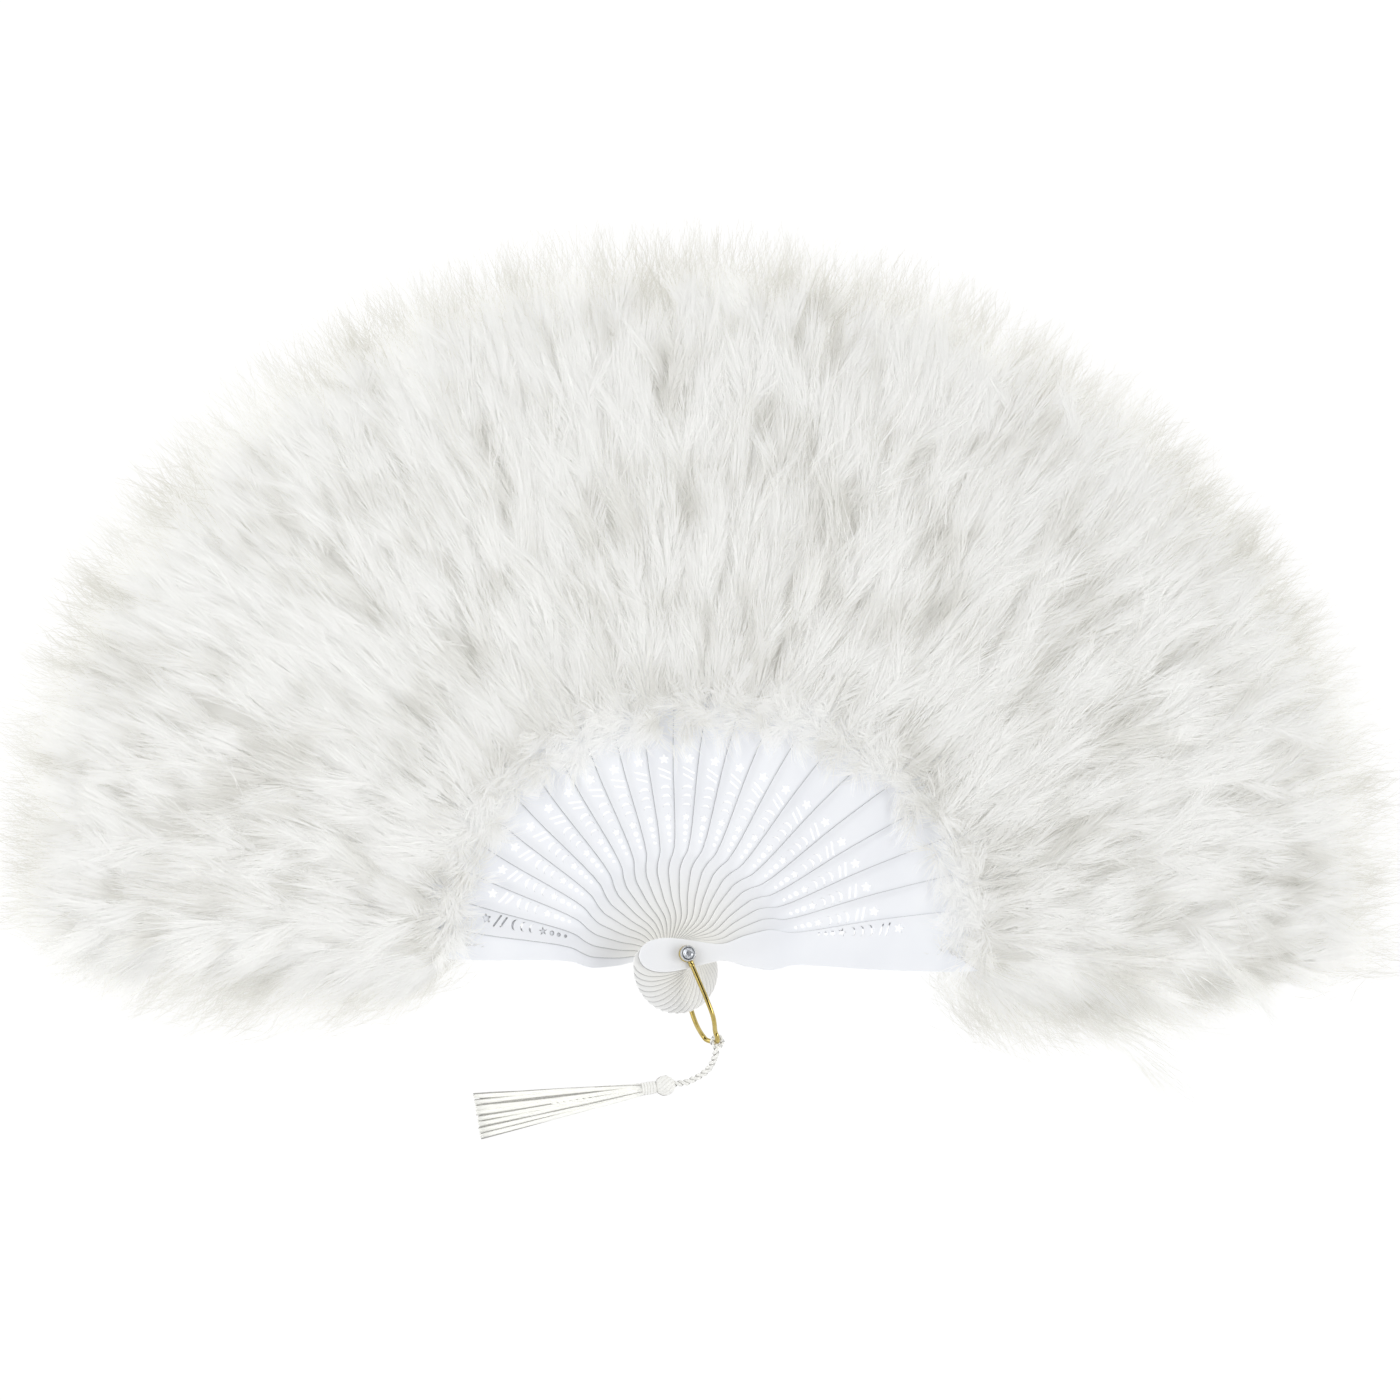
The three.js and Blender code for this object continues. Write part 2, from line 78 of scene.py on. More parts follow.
BODIES = ["rear_leaf", *(f"leaf_{i:02d}" for i in range(1, STICKS - 1)), "front_leaf"]
BLADES = ["rear_guard", *(f"stick_{i:02d}" for i in range(1, STICKS - 1)), "front_guard"]
PLUMES = ["plume_rear", *(f"plume_{i:02d}" for i in range(1, STICKS - 1)), "plume_front"]


def is_guard(index):
    return index in (0, STICKS - 1)


def thick_of(index):
    return GUARD_THICK if is_guard(index) else STICK_THICK


def bottom_of(index):
    if index == 0:
        return REAR_GUARD_Z
    return REAR_GUARD_Z + GUARD_THICK + LEAF_GAP + (index - 1) * (STICK_THICK + LEAF_GAP)


def top_of(index):
    return bottom_of(index) + thick_of(index)


def angle_of(index):
    return math.radians(REAR_ANGLE - index * PITCH)


FRONT_EYE_Z = top_of(STICKS - 1) + GAP
SETTING_Z = FRONT_EYE_Z + 2 * WIRE_R + GAP
print("stack of sticks:", round(bottom_of(0), 2), "to", round(top_of(STICKS - 1), 2), "mm")

# %% [markdown]
# ## Making a mesh
#
# Every piece here is points and faces worked out with numpy, because the down has far too many strands to
# place by hand. One function turns a list of points in millimetres into a mesh that rides on a body and
# stands for the model's plain solids.


# %% A mesh piece on a body
def turn_about_rivet(points, angle):
    c, s = math.cos(angle), math.sin(angle)
    points = np.asarray(points, float)
    x, y = points[..., 0], points[..., 1]
    return np.stack([c * x - s * y, s * x + c * y, points[..., 2]], axis=-1)


def smoothstep(x, low, high):
    t = np.clip((x - low) / (high - low), 0, 1)
    return t * t * (3 - 2 * t)


def add_object(name, data):
    made = bpy.data.objects.new(name, data)
    bpy.context.scene.collection.objects.link(made)
    return made


def read_points(mesh, field="co"):
    values = np.empty(len(mesh.vertices) * 3)
    mesh.vertices.foreach_get(field, values)
    return values.reshape(-1, 3)


def make_piece(name, points, faces, material, body, stands_for=(), slot=None, smooth=True, tone=None):
    mesh = bpy.data.meshes.new(name)
    points = np.asarray(points, float).reshape(-1, 3) * 0.001
    mesh.vertices.add(len(points))
    mesh.vertices.foreach_set("co", points.ravel())
    corners = [len(face) for face in faces]
    mesh.loops.add(sum(corners))
    mesh.loops.foreach_set("vertex_index", np.concatenate(faces))
    mesh.polygons.add(len(faces))
    mesh.polygons.foreach_set("loop_start", np.concatenate([[0], np.cumsum(corners)[:-1]]))
    mesh.polygons.foreach_set("use_smooth", np.full(len(faces), smooth))
    mesh.update(calc_edges=True)
    mesh.materials.append(material)
    if tone is not None:
        tones = mesh.attributes.new("tone", "FLOAT", "POINT")
        tones.data.foreach_set("value", np.asarray(tone, np.float32).ravel())
    piece = add_object(name, mesh)
    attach(piece, body)
    if stands_for:
        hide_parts(*stands_for)
    return piece


# %% [markdown]
# ## Materials
#
# Each finish starts from what the real one is. Colours are written as the hex values a picture editor shows
# and are turned into the linear values that shaders use. One small function adds a shader node, sets its
# values and links it.


# %% Colour and node helpers
def linear(hex_colour):
    channels = [int(hex_colour[k : k + 2], 16) / 255 for k in (1, 3, 5)]
    return [c / 12.92 if c <= 0.04045 else ((c + 0.055) / 1.055) ** 2.4 for c in channels] + [1.0]


def put(tree, kind, inputs=None, **settings):
    node = tree.nodes.new(kind)
    for name, value in settings.items():
        setattr(node, name, value)
    for name, value in (inputs or {}).items():
        if isinstance(value, bpy.types.NodeSocket):
            tree.links.new(value, node.inputs[name])
        else:
            node.inputs[name].default_value = value
    return node


def new_finish(name):
    finish = bpy.data.materials.new(name)
    finish.use_nodes = True
    finish.node_tree.nodes.clear()
    return finish, finish.node_tree


def two_tones(tree, factor, dark, light, low=0.3, high=0.7):
    ramp = put(tree, "ShaderNodeValToRGB", {"Fac": factor})
    ramp.color_ramp.elements[0].position = low
    ramp.color_ramp.elements[0].color = linear(dark)
    ramp.color_ramp.elements[1].position = high
    ramp.color_ramp.elements[1].color = linear(light)
    return ramp.outputs["Color"]


# %% [markdown]
# ### Moulded polystyrene
#
# The sticks are thin injection-moulded polystyrene, white with a trace of violet. The mould leaves a soft
# gloss with a faint orange-peel ripple about 1.5 mm across, and light that enters the thin edges glows a
# little, which a small amount of subsurface scattering gives. Round the rivet the inner sticks are coloured
# slightly warm and grey. The corners where one stick lies over the next are painted grey as shade; an
# ambient occlusion node finds those corners, within 0.9 mm. A faint emission stands for the light that so
# many white sticks pass to each other, and it is painted up to twice as strong round the rivet, to lift the
# shade among the crowded necks and heads.

# %% Polystyrene for the sticks
polystyrene, tree = new_finish("moulded_polystyrene")
where = put(tree, "ShaderNodeTexCoord").outputs["Object"]
flow = put(tree, "ShaderNodeTexNoise", {"Vector": where, "Scale": 1 / 0.035, "Detail": 3.0})
ripple = put(tree, "ShaderNodeTexNoise", {"Vector": where, "Scale": 1 / 0.0015, "Detail": 2.0})
bump = put(tree, "ShaderNodeBump", {"Height": ripple.outputs["Fac"], "Strength": 0.05, "Distance": 0.0002})
shine = put(tree, "ShaderNodeMapRange", {"Value": flow.outputs["Fac"], "To Min": 0.26, "To Max": 0.4})
flat_place = put(tree, "ShaderNodeVectorMath", {0: where, 1: (1, 1, 0)}, operation="MULTIPLY")
from_rivet = put(tree, "ShaderNodeVectorMath", {0: flat_place.outputs["Vector"]}, operation="LENGTH")
near_rivet = put(tree, "ShaderNodeMapRange", {
    "Value": from_rivet.outputs["Value"],
    "From Min": 0.012, "From Max": 0.05,
    "To Min": 1.0, "To Max": 0.0,
})
# the tone is 1 on the inner sticks and less on the guards, so the warm grey and the painted glow round the
# rivet are weaker on the guards
tone = put(tree, "ShaderNodeAttribute", attribute_name="tone")
both = {0: near_rivet.outputs["Result"], 1: tone.outputs["Fac"]}
rivet_tint_and_glow = put(tree, "ShaderNodeMath", both, operation="MULTIPLY")
# a mix node's colour sockets are its seventh and eighth inputs and its third output
stick_colour = two_tones(tree, flow.outputs["Fac"], "#E9EBF0", "#EFF1F5")
warm = {0: rivet_tint_and_glow.outputs["Value"], 6: stick_colour, 7: linear("#E1E0DB")}
rivet_tinted = put(tree, "ShaderNodeMix", warm, data_type="RGBA").outputs[2]
# painted shade: the corners where one stick lies over the next are mixed towards grey
corner = put(tree, "ShaderNodeAmbientOcclusion", {"Distance": 0.0009}, samples=8)
painted_shade_amount = put(tree, "ShaderNodeMapRange", {
    "Value": corner.outputs["AO"],
    "From Min": 0.45, "From Max": 0.85,
    "To Min": 0.72, "To Max": 0.0,
})
grey = {0: painted_shade_amount.outputs["Result"], 6: rivet_tinted, 7: linear("#8E8E8E")}
with_painted_shade = put(tree, "ShaderNodeMix", grey, data_type="RGBA").outputs[2]
# painted light: the emission is up to twice as strong round the rivet, to lift the shade among the necks and
# heads
glow = put(tree, "ShaderNodeMapRange", {"Value": rivet_tint_and_glow.outputs["Value"], "To Min": 0.1, "To Max": 0.2})
shell = put(tree, "ShaderNodeBsdfPrincipled", {
    "Base Color": with_painted_shade,
    "Roughness": shine.outputs["Result"],
    "Normal": bump.outputs["Normal"],
    "IOR": 1.59,
    "Subsurface Weight": 0.2,
    "Subsurface Radius": (1.0, 1.0, 1.0),
    "Subsurface Scale": 0.003,
    "Emission Color": with_painted_shade,
    "Emission Strength": glow.outputs["Result"],
})
put(tree, "ShaderNodeOutputMaterial", {"Surface": shell.outputs["BSDF"]})
print("made", polystyrene.name)

# %% [markdown]
# ### Marabou down
#
# Marabou is the soft under-feather of turkeys, washed and bleached. It has no gloss: every barb scatters
# light and lets some through, so the mass is bright with soft grey hollows. A faint emission stands for light
# that has passed through many barbs. Each strand carries its own tone in a point attribute, and that tone
# holds painted shade and light: it is darker at a feather's root and edges, on the core and on the loose
# barbs, and lighter on the down that hangs over the guards. A broad noise about 40 mm across makes some
# patches whiter than others.

# %% Down for the plumes
down, tree = new_finish("marabou_down")
where = put(tree, "ShaderNodeTexCoord").outputs["Object"]
drift = put(tree, "ShaderNodeTexNoise", {"Vector": where, "Scale": 1 / 0.04, "Detail": 2.0})
tone = put(tree, "ShaderNodeAttribute", attribute_name="tone")
blend = put(tree, "ShaderNodeMath", {0: tone.outputs["Fac"], 1: drift.outputs["Fac"]}, operation="ADD")
half = put(tree, "ShaderNodeMath", {0: blend.outputs["Value"], 1: 0.5}, operation="MULTIPLY")
colour = two_tones(tree, half.outputs["Value"], "#D2D0C6", "#FCFCFB", 0.05, 0.6)
strand = put(tree, "ShaderNodeBsdfPrincipled", {
    "Base Color": colour,
    "Roughness": 0.9,
    "Specular IOR Level": 0.2,
    "Emission Color": linear("#FFFFFF"),
    "Emission Strength": 0.1,
})
through = put(tree, "ShaderNodeBsdfTranslucent", {"Color": colour})
lights = {"Fac": 0.45, 1: strand.outputs["BSDF"], 2: through.outputs["BSDF"]}
both = put(tree, "ShaderNodeMixShader", lights)
put(tree, "ShaderNodeOutputMaterial", {"Surface": both.outputs["Shader"]})
print("made", down.name)

# %% [markdown]
# ### Rayon thread
#
# The tassel is rayon, a bright silky thread. Each filament is smooth, so the bundle shines along its length.
# A fine noise stands for the twist of the yarn, drawn 0.6 mm across so that it shows. Each thread's tone,
# a painted shade that is grey in the grooves and down the sides and white on top, comes from a point
# attribute. A faint emission in the thread's own colour is painted light, which brightens the bundle where
# its threads shade each other.

# %% Rayon for the tassel
rayon, tree = new_finish("rayon_thread")
where = put(tree, "ShaderNodeTexCoord").outputs["Object"]
fibre = put(tree, "ShaderNodeTexNoise", {"Vector": where, "Scale": 1 / 0.0006, "Detail": 2.0})
bump = put(tree, "ShaderNodeBump", {"Height": fibre.outputs["Fac"], "Strength": 0.25, "Distance": 0.0002})
tone = put(tree, "ShaderNodeAttribute", attribute_name="tone")
band = {0: fibre.outputs["Fac"], 1: 0.35, 2: tone.outputs["Fac"]}
shade = put(tree, "ShaderNodeMath", band, operation="MULTIPLY_ADD")
colour = two_tones(tree, shade.outputs["Value"], "#84817D", "#FFFFFC", 0.1, 0.8)
thread = put(tree, "ShaderNodeBsdfPrincipled", {
    "Base Color": colour,
    "Roughness": 0.42,
    "Sheen Weight": 0.25,
    "Normal": bump.outputs["Normal"],
    # painted light: the thread glows faintly in its own colour, brightening the bundle where threads shade
    # each other
    "Emission Color": colour,
    "Emission Strength": 0.17,
})
through = put(tree, "ShaderNodeBsdfTranslucent", {"Color": colour})
lights = {"Fac": 0.3, 1: thread.outputs["BSDF"], 2: through.outputs["BSDF"]}
both = put(tree, "ShaderNodeMixShader", lights)
put(tree, "ShaderNodeOutputMaterial", {"Surface": both.outputs["Shader"]})
print("made", rayon.name)

# %% [markdown]
# ### Satin ribbon
#
# The ribbon that spaces the sticks is a narrow satin, woven with a rib across it about 0.4 mm apart.

# %% Satin for the linking ribbon
satin, tree = new_finish("woven_satin")
where = put(tree, "ShaderNodeTexCoord").outputs["Object"]
rib = put(tree, "ShaderNodeTexWave", {"Vector": where, "Scale": 1 / 0.0004 / 6.283, "Distortion": 1.0})
bump = put(tree, "ShaderNodeBump", {"Height": rib.outputs["Fac"], "Strength": 0.3, "Distance": 0.0001})
weave = put(tree, "ShaderNodeBsdfPrincipled", {
    "Base Color": two_tones(tree, rib.outputs["Fac"], "#EDEAE3", "#F8F6F1"),
    "Roughness": 0.4,
    "Sheen Weight": 0.2,
    "Normal": bump.outputs["Normal"],
})
put(tree, "ShaderNodeOutputMaterial", {"Surface": weave.outputs["BSDF"]})
print("made", satin.name)

# %% [markdown]
# ### Plated wire, cup and stone
#
# The bail is steel wire with a thin gold plate, and the cup on the rivet is nickel-plated brass. Both were
# tumbled bright, so they are smooth metal with faint rubbed patches that only change the gloss. The stone is
# foil-backed cut glass: the foil makes it dark grey, and a cell pattern paints brighter patches into its
# colour as a painted glint on the facets.


# %% Plated metal
def plated(name, dark, light, low, high):
    finish, tree = new_finish(name)
    where = put(tree, "ShaderNodeTexCoord").outputs["Object"]
    rub = put(tree, "ShaderNodeTexNoise", {"Vector": where, "Scale": 1 / 0.004, "Detail": 4.0})
    gloss = put(tree, "ShaderNodeMapRange", {"Value": rub.outputs["Fac"], "To Min": low, "To Max": high})
    metal = put(tree, "ShaderNodeBsdfPrincipled", {
        "Base Color": two_tones(tree, rub.outputs["Fac"], dark, light),
        "Metallic": 1.0,
        "Roughness": gloss.outputs["Result"],
    })
    put(tree, "ShaderNodeOutputMaterial", {"Surface": metal.outputs["BSDF"]})
    return finish


gold_plate = plated("gold_plated_wire", "#B4A05A", "#C8B472", 0.1, 0.2)
nickel_plate = plated("nickel_plated_brass", "#C4C6C8", "#E2E4E6", 0.24, 0.38)
print("made", gold_plate.name, nickel_plate.name)

# %% Cut glass for the stone
cut_glass, tree = new_finish("foil_backed_glass")
where = put(tree, "ShaderNodeTexCoord").outputs["Object"]
# painted glint: a cell pattern lightens the stone's colour in patches, as if facets caught the light
painted_glint = put(tree, "ShaderNodeTexVoronoi", {"Vector": where, "Scale": 1 / 0.0009})
facet = put(tree, "ShaderNodeBsdfPrincipled", {
    "Base Color": two_tones(tree, painted_glint.outputs["Distance"], "#7E838C", "#DCE0E6", 0.1, 0.6),
    "Metallic": 0.55,
    "Roughness": 0.05,
    "IOR": 1.52,
    "Coat Weight": 1.0,
    "Coat Roughness": 0.02,
})
put(tree, "ShaderNodeOutputMaterial", {"Surface": facet.outputs["BSDF"]})
print("made", cut_glass.name)

# %% [markdown]
# ## Camera
#
# The fan lies on a table and is seen from almost straight above, from a little to the left and below, which
# shows the left ends of the stacked heads and parts the two legs of the bail. A long lens keeps the fan's
# half circle round.

# %% Place the camera
VIEW_FROM = Vector((-0.2, -0.11, 1.0)).normalized()
FRAME_WIDE = 0.674
RIVET_IN_FRAME = (-0.0055, -0.1219)
CUP_ABOVE = 2
camera_data = bpy.data.cameras.new("camera")
camera_data.lens = 180
distance = FRAME_WIDE / 2 / math.tan(camera_data.angle / 2)
right = Vector((0, 1, 0)).cross(VIEW_FROM).normalized()
upward = VIEW_FROM.cross(right)
rivet_top = Vector((0, 0, (SETTING_Z + CUP_ABOVE) * 0.001))
aim = rivet_top - right * RIVET_IN_FRAME[0] - upward * RIVET_IN_FRAME[1]
camera = add_object("camera", camera_data)
camera.location = aim + VIEW_FROM * distance
camera.rotation_mode = "QUATERNION"
camera.rotation_quaternion = Matrix((right, upward, VIEW_FROM)).transposed().to_quaternion()
bpy.context.scene.camera = camera
print("camera at", [round(v, 3) for v in camera.location])

# %% [markdown]
# ## Tassel cord
#
# The cord is two strands of rayon twisted together, looped on the end of the bail. It leaves the bail high
# above the table, drops in a soft curve and runs into the ball knot. A twisted cord could be a bump on a
# tube, but then its edge would stay straight, so the two strands are real helices round one line.

# %% The line the cord follows
BAIL_ANGLE, BAIL_LENGTH, BAIL_END_R, BAIL_BOW = math.radians(-67), 45, 4.5, 4.3
REAR_WIRE_Z, FRONT_WIRE_Z = REAR_EYE_Z + WIRE_R, FRONT_EYE_Z + WIRE_R
BAIL_MID_Z = (REAR_WIRE_Z + FRONT_WIRE_Z) / 2
HANG = np.array([BAIL_LENGTH * math.cos(BAIL_ANGLE), BAIL_LENGTH * math.sin(BAIL_ANGLE), BAIL_MID_Z])
CORD_R, KNOB_R = 0.95, 5
TASSEL_ANGLE = math.radians(189.6)
ALONG = np.array([math.cos(TASSEL_ANGLE), math.sin(TASSEL_ANGLE), 0])
KNOB = np.array([-6, -62.3, KNOB_R + GAP / 2])
BELLY, BELLY_HIGH = np.array([3.2, -2.4, 0]), 0.56


def spline(stops, per_span):
    """A smooth line through the stops, as centripetal Catmull-Rom spans."""
    stops = np.asarray(stops, float)
    stops = np.vstack([2 * stops[0] - stops[1], stops, 2 * stops[-1] - stops[-2]])
    line = []
    for p0, p1, p2, p3 in zip(stops, stops[1:], stops[2:], stops[3:]):
        k1 = np.linalg.norm(p1 - p0) ** 0.5
        k2 = k1 + np.linalg.norm(p2 - p1) ** 0.5
        k3 = k2 + np.linalg.norm(p3 - p2) ** 0.5
        for t in np.linspace(k1, k2, per_span, endpoint=False):
            a1 = p0 + (p1 - p0) * t / k1
            a2 = p1 + (p2 - p1) * (t - k1) / (k2 - k1)
            a3 = p2 + (p3 - p2) * (t - k2) / (k3 - k2)
            b1 = a1 + (a2 - a1) * t / k2
            b2 = a2 + (a3 - a2) * (t - k1) / (k3 - k1)
            line.append(b1 + (b2 - b1) * (t - k1) / (k2 - k1))
    return np.array(line + [stops[-2]])


LOOP_R = WIRE_R + GAP + 1.1 * CORD_R
out = np.array([-0.1, -1, 0]) / math.hypot(0.1, 1)
begin = HANG + out * LOOP_R
knob_end = KNOB - ALONG * (KNOB_R + GAP)
before = knob_end - ALONG * 6
middle = (begin + before) / 2 + BELLY
middle[2] = BELLY_HIGH * BAIL_MID_Z
# inside the knot and the skirt the cord sinks towards the table
core = [KNOB, KNOB + ALONG * 9, KNOB + ALONG * 40 - [0, 0, 2.0], KNOB + ALONG * 56 - [0, 0, 2.75]]
cord_line = spline([begin, begin + out * 2.5, middle, before, knob_end, *core], 10)


# %% Tubes and twisted strands along a line
def frames_along(line):
    """Tangent and two crossways directions at each point, carried along without twist."""
    tangent = np.gradient(line, axis=0)
    tangent /= np.linalg.norm(tangent, axis=1)[:, None]
    side = np.cross(tangent[0], [0, 0, 1.0])
    if np.linalg.norm(side) < 0.1:
        side = np.cross(tangent[0], [1.0, 0, 0])
    sides = []
    for t in tangent:
        side = side - t * np.dot(side, t)
        side = side / np.linalg.norm(side)
        sides.append(side)
    sides = np.array(sides)
    return tangent, sides, np.cross(tangent, sides)


def ring_quads(rows, around, closed=False):
    """Quads between rings of points, each ring to the next, and the last to the first if closed."""
    faces = []
    for r in range(rows if closed else rows - 1):
        step = ((r + 1) % rows - r) * around
        for k in range(around):
            a, b = r * around + k, r * around + (k + 1) % around
            faces.append((a, b, b + step, a + step))
    return faces


def tube(line, radius, around, closed=False):
    """Points and faces of a round tube; radius is one number or one for each point."""
    _, side, other = frames_along(line)
    radius = np.broadcast_to(np.asarray(radius, float), (len(line),))
    turn = 2 * np.pi * np.arange(around) / around
    ring = side[:, None] * np.cos(turn)[None, :, None] + other[:, None] * np.sin(turn)[None, :, None]
    points = (line[:, None] + ring * radius[:, None, None]).reshape(-1, 3)
    rows = len(line)
    faces = ring_quads(rows, around, closed)
    if not closed:
        faces.append(tuple(range(around))[::-1])
        faces.append(tuple(range((rows - 1) * around, rows * around)))
    return points, faces


def gather(parts):
    """Joins several (points, faces) into one."""
    points, faces, count = [], [], 0
    for part_points, part_faces in parts:
        points.append(part_points)
        faces.extend(tuple(np.asarray(face) + count) for face in part_faces)
        count += len(part_points)
    return np.vstack(points), faces


def twisted(line, strands, strand_r, pitch, closed=False):
    """Strands wound round a line, each one turn in every pitch."""
    run = np.concatenate([[0], np.cumsum(np.linalg.norm(np.diff(line, axis=0), axis=1))])
    fine = np.linspace(0, run[-1], max(24, int(run[-1] / 0.45)))
    line = np.stack([np.interp(fine, run, line[:, k]) for k in range(3)], axis=1)
    if closed:
        line = line[:-1]
        fine = fine[:-1]
    _, side, other = frames_along(line)
    made = []
    for k in range(strands):
        turn = 2 * np.pi * (fine / pitch + k / strands)
        wound = line + strand_r * (side * np.cos(turn)[:, None] + other * np.sin(turn)[:, None])
        made.append(tube(wound, strand_r, 8, closed))
    return gather(made)


# %% The cord and its loop on the bail
STRAND_R, LOOP_STRAND_R, STRAND_PITCH, LOOP_TURNS = 0.8, 0.6, 6.4, 3


def painted_groove_shade(points, line, strand_r):
    """Painted shade: grey where two strands meet and down the sides, and light on top."""
    away = np.linalg.norm(points[:, None] - line[None], axis=2)
    nearest = away.argmin(axis=1)
    groove = away.min(axis=1) / (2 * strand_r)
    upper = (points[:, 2] - line[nearest, 2]) / (2 * strand_r)
    return 0.85 * smoothstep(groove, 0.1, 0.6) * smoothstep(upper, -0.05, 0.5)


def thread_piece(name, points, faces, node, tone):
    """One part of the tassel, in rayon."""
    return make_piece(name, points, faces, rayon, "tassel", [node], "white_thread", tone=tone)


points, faces = twisted(cord_line, 2, STRAND_R, STRAND_PITCH)
# painted shade: the strands are grey where they meet and down their lower sides
grooves = painted_groove_shade(points, cord_line, STRAND_R)
tassel_cord = thread_piece("tassel_cord_strands", points, faces, "tassel_cord", grooves)
ring_turn = np.linspace(0, 2 * np.pi, 40)
ring = HANG + LOOP_R * np.stack([np.cos(ring_turn), np.sin(ring_turn), 0 * ring_turn], axis=1)
points, faces = twisted(ring, 2, LOOP_STRAND_R, 2 * np.pi * LOOP_R / LOOP_TURNS, closed=True)
grooves = painted_groove_shade(points, ring, LOOP_STRAND_R)
tassel_loop = thread_piece("tassel_cord_loop", points, faces, "tassel_cord", grooves)
print("cord faces:", len(tassel_cord.data.polygons), "loop faces:", len(tassel_loop.data.polygons))

# %% [markdown]
# ## Tassel head and neck
#
# The ball is a small mould covered with bundles of the tassel's own thread, which run over it from the cord
# to the neck. Fourteen rounded ridges along the meridians, swirled a little, give that. The neck is bound
# with thread, so it is a row of narrow rounded turns. Both are rings of points round the tassel's line, with
# painted shade: grey in the grooves and down the sides.


# %% Shapes turned along the tassel
def along_tassel(points, past):
    """Lays points whose x runs along the tassel, with x = 0 at past millimetres from the ball's middle."""
    points = np.asarray(points, float) + [past, 0, 0]
    return turn_about_rivet(points, TASSEL_ANGLE) + KNOB


def skin(rows_of_points):
    """Faces over a grid of rings, with both ends closed."""
    rows, around = rows_of_points.shape[:2]
    faces = [(a, d, c, b) for a, b, c, d in ring_quads(rows, around)]
    faces.append(tuple(range(around)))
    faces.append(tuple(range((rows - 1) * around, rows * around))[::-1])
    return rows_of_points.reshape(-1, 3), faces


def groove_shade_tone(ridge):
    """The tone of thread from a groove, where ridge is 0, to the top of a turn, where it is 1: painted shade
    in the grooves.
    """
    return 0.1 + 0.75 * ridge


# %% The ridged ball
HALF_RIDGES, RIDGE_TALL, RIDGE_SWIRL = 7, 0.2, 0.7
turn = np.linspace(0, 2 * np.pi, 144, endpoint=False)
ball, ball_tone = [], []
for a in np.linspace(-0.47 * np.pi, 0.44 * np.pi, 30):
    swirl = turn + RIDGE_SWIRL * a
    ridge = np.abs(np.sin(HALF_RIDGES * swirl)) ** 0.5
    uneven = 0.07 * np.sin(5 * swirl + 3 * a)
    r = (KNOB_R - 0.3 + RIDGE_TALL * ridge + uneven) * math.cos(a)
    x = np.full_like(turn, KNOB_R * math.sin(a))
    ball.append(np.stack([x, r * np.cos(turn), r * np.sin(turn)], axis=1))
    # painted shade: grey in the grooves and on the lower sides of the ball
    ball_tone.append(groove_shade_tone(ridge) * smoothstep(np.cos(a) * np.sin(turn), -0.05, 0.5))
points, faces = skin(np.array(ball))
points = along_tassel(points, 0)
tassel_ball = thread_piece("tassel_ball", points, faces, "tassel_head", np.concatenate(ball_tone))
print("ball:", len(faces), "faces,", 2 * HALF_RIDGES, "ridges")

# %% The bound neck
BAND_R, BAND_LENGTH, BAND_FROM = 3.2, 6.4, KNOB_R + GAP
WRAP_WIDE, WRAP_TALL = 1.4, 0.24
turn = turn[::4]
neck, neck_tone = [], []
for x in np.linspace(-0.6, BAND_LENGTH + 0.2, 74):
    wrap = np.abs(np.sin(np.pi * (x / WRAP_WIDE + turn / (2 * np.pi)))) ** 0.5
    # painted shade: grey between the turns and on the lower sides of the neck
    neck_tone.append(groove_shade_tone(wrap) * smoothstep(np.sin(turn), -0.1, 0.5))
    r = BAND_R - 0.35 + WRAP_TALL * wrap - 0.25 * (abs(x - BAND_LENGTH / 2) / BAND_LENGTH) ** 2
    neck.append(np.stack([np.full_like(turn, x), r * np.cos(turn), r * np.sin(turn)], axis=1))
points, faces = skin(np.array(neck))
points = along_tassel(points, BAND_FROM)
tassel_neck = thread_piece("tassel_neck", points, faces, "tassel_band", np.concatenate(neck_tone))
print("neck:", len(faces), "faces")

# %% [markdown]
# ## Tassel skirt
#
# The skirt is a few hundred threads cut to one length. On a table they flatten and spread into a wedge, and
# they lie in eight locks with darker lines between. Each thread is a thin tube from the neck to its own place
# at the cut end. Three thin grey threads in each gap and at both sides stand for the shaded threads there.

# %% Threads of the skirt
rng = np.random.default_rng(11)
SKIRT_LENGTH, SKIRT_HALF, LOCKS, LOCK_THREADS, THREAD_R = 81, 11.2, 8, 38, 0.4
LOCK_TALL, LOCK_HALF = 2.4, 0.07
GAP_THREADS, GAP_THREAD_R, GAP_TONE = 3, 0.28, 0.2
lock_at = np.linspace(-0.88, 0.88, LOCKS) + rng.normal(0, 0.025, LOCKS)
lock_skew = rng.normal(0, 0.03, LOCKS)
run = np.linspace(0, 1, 12)
settle = smoothstep(run, 0, 0.6)
strands, skirt_tone = [], []


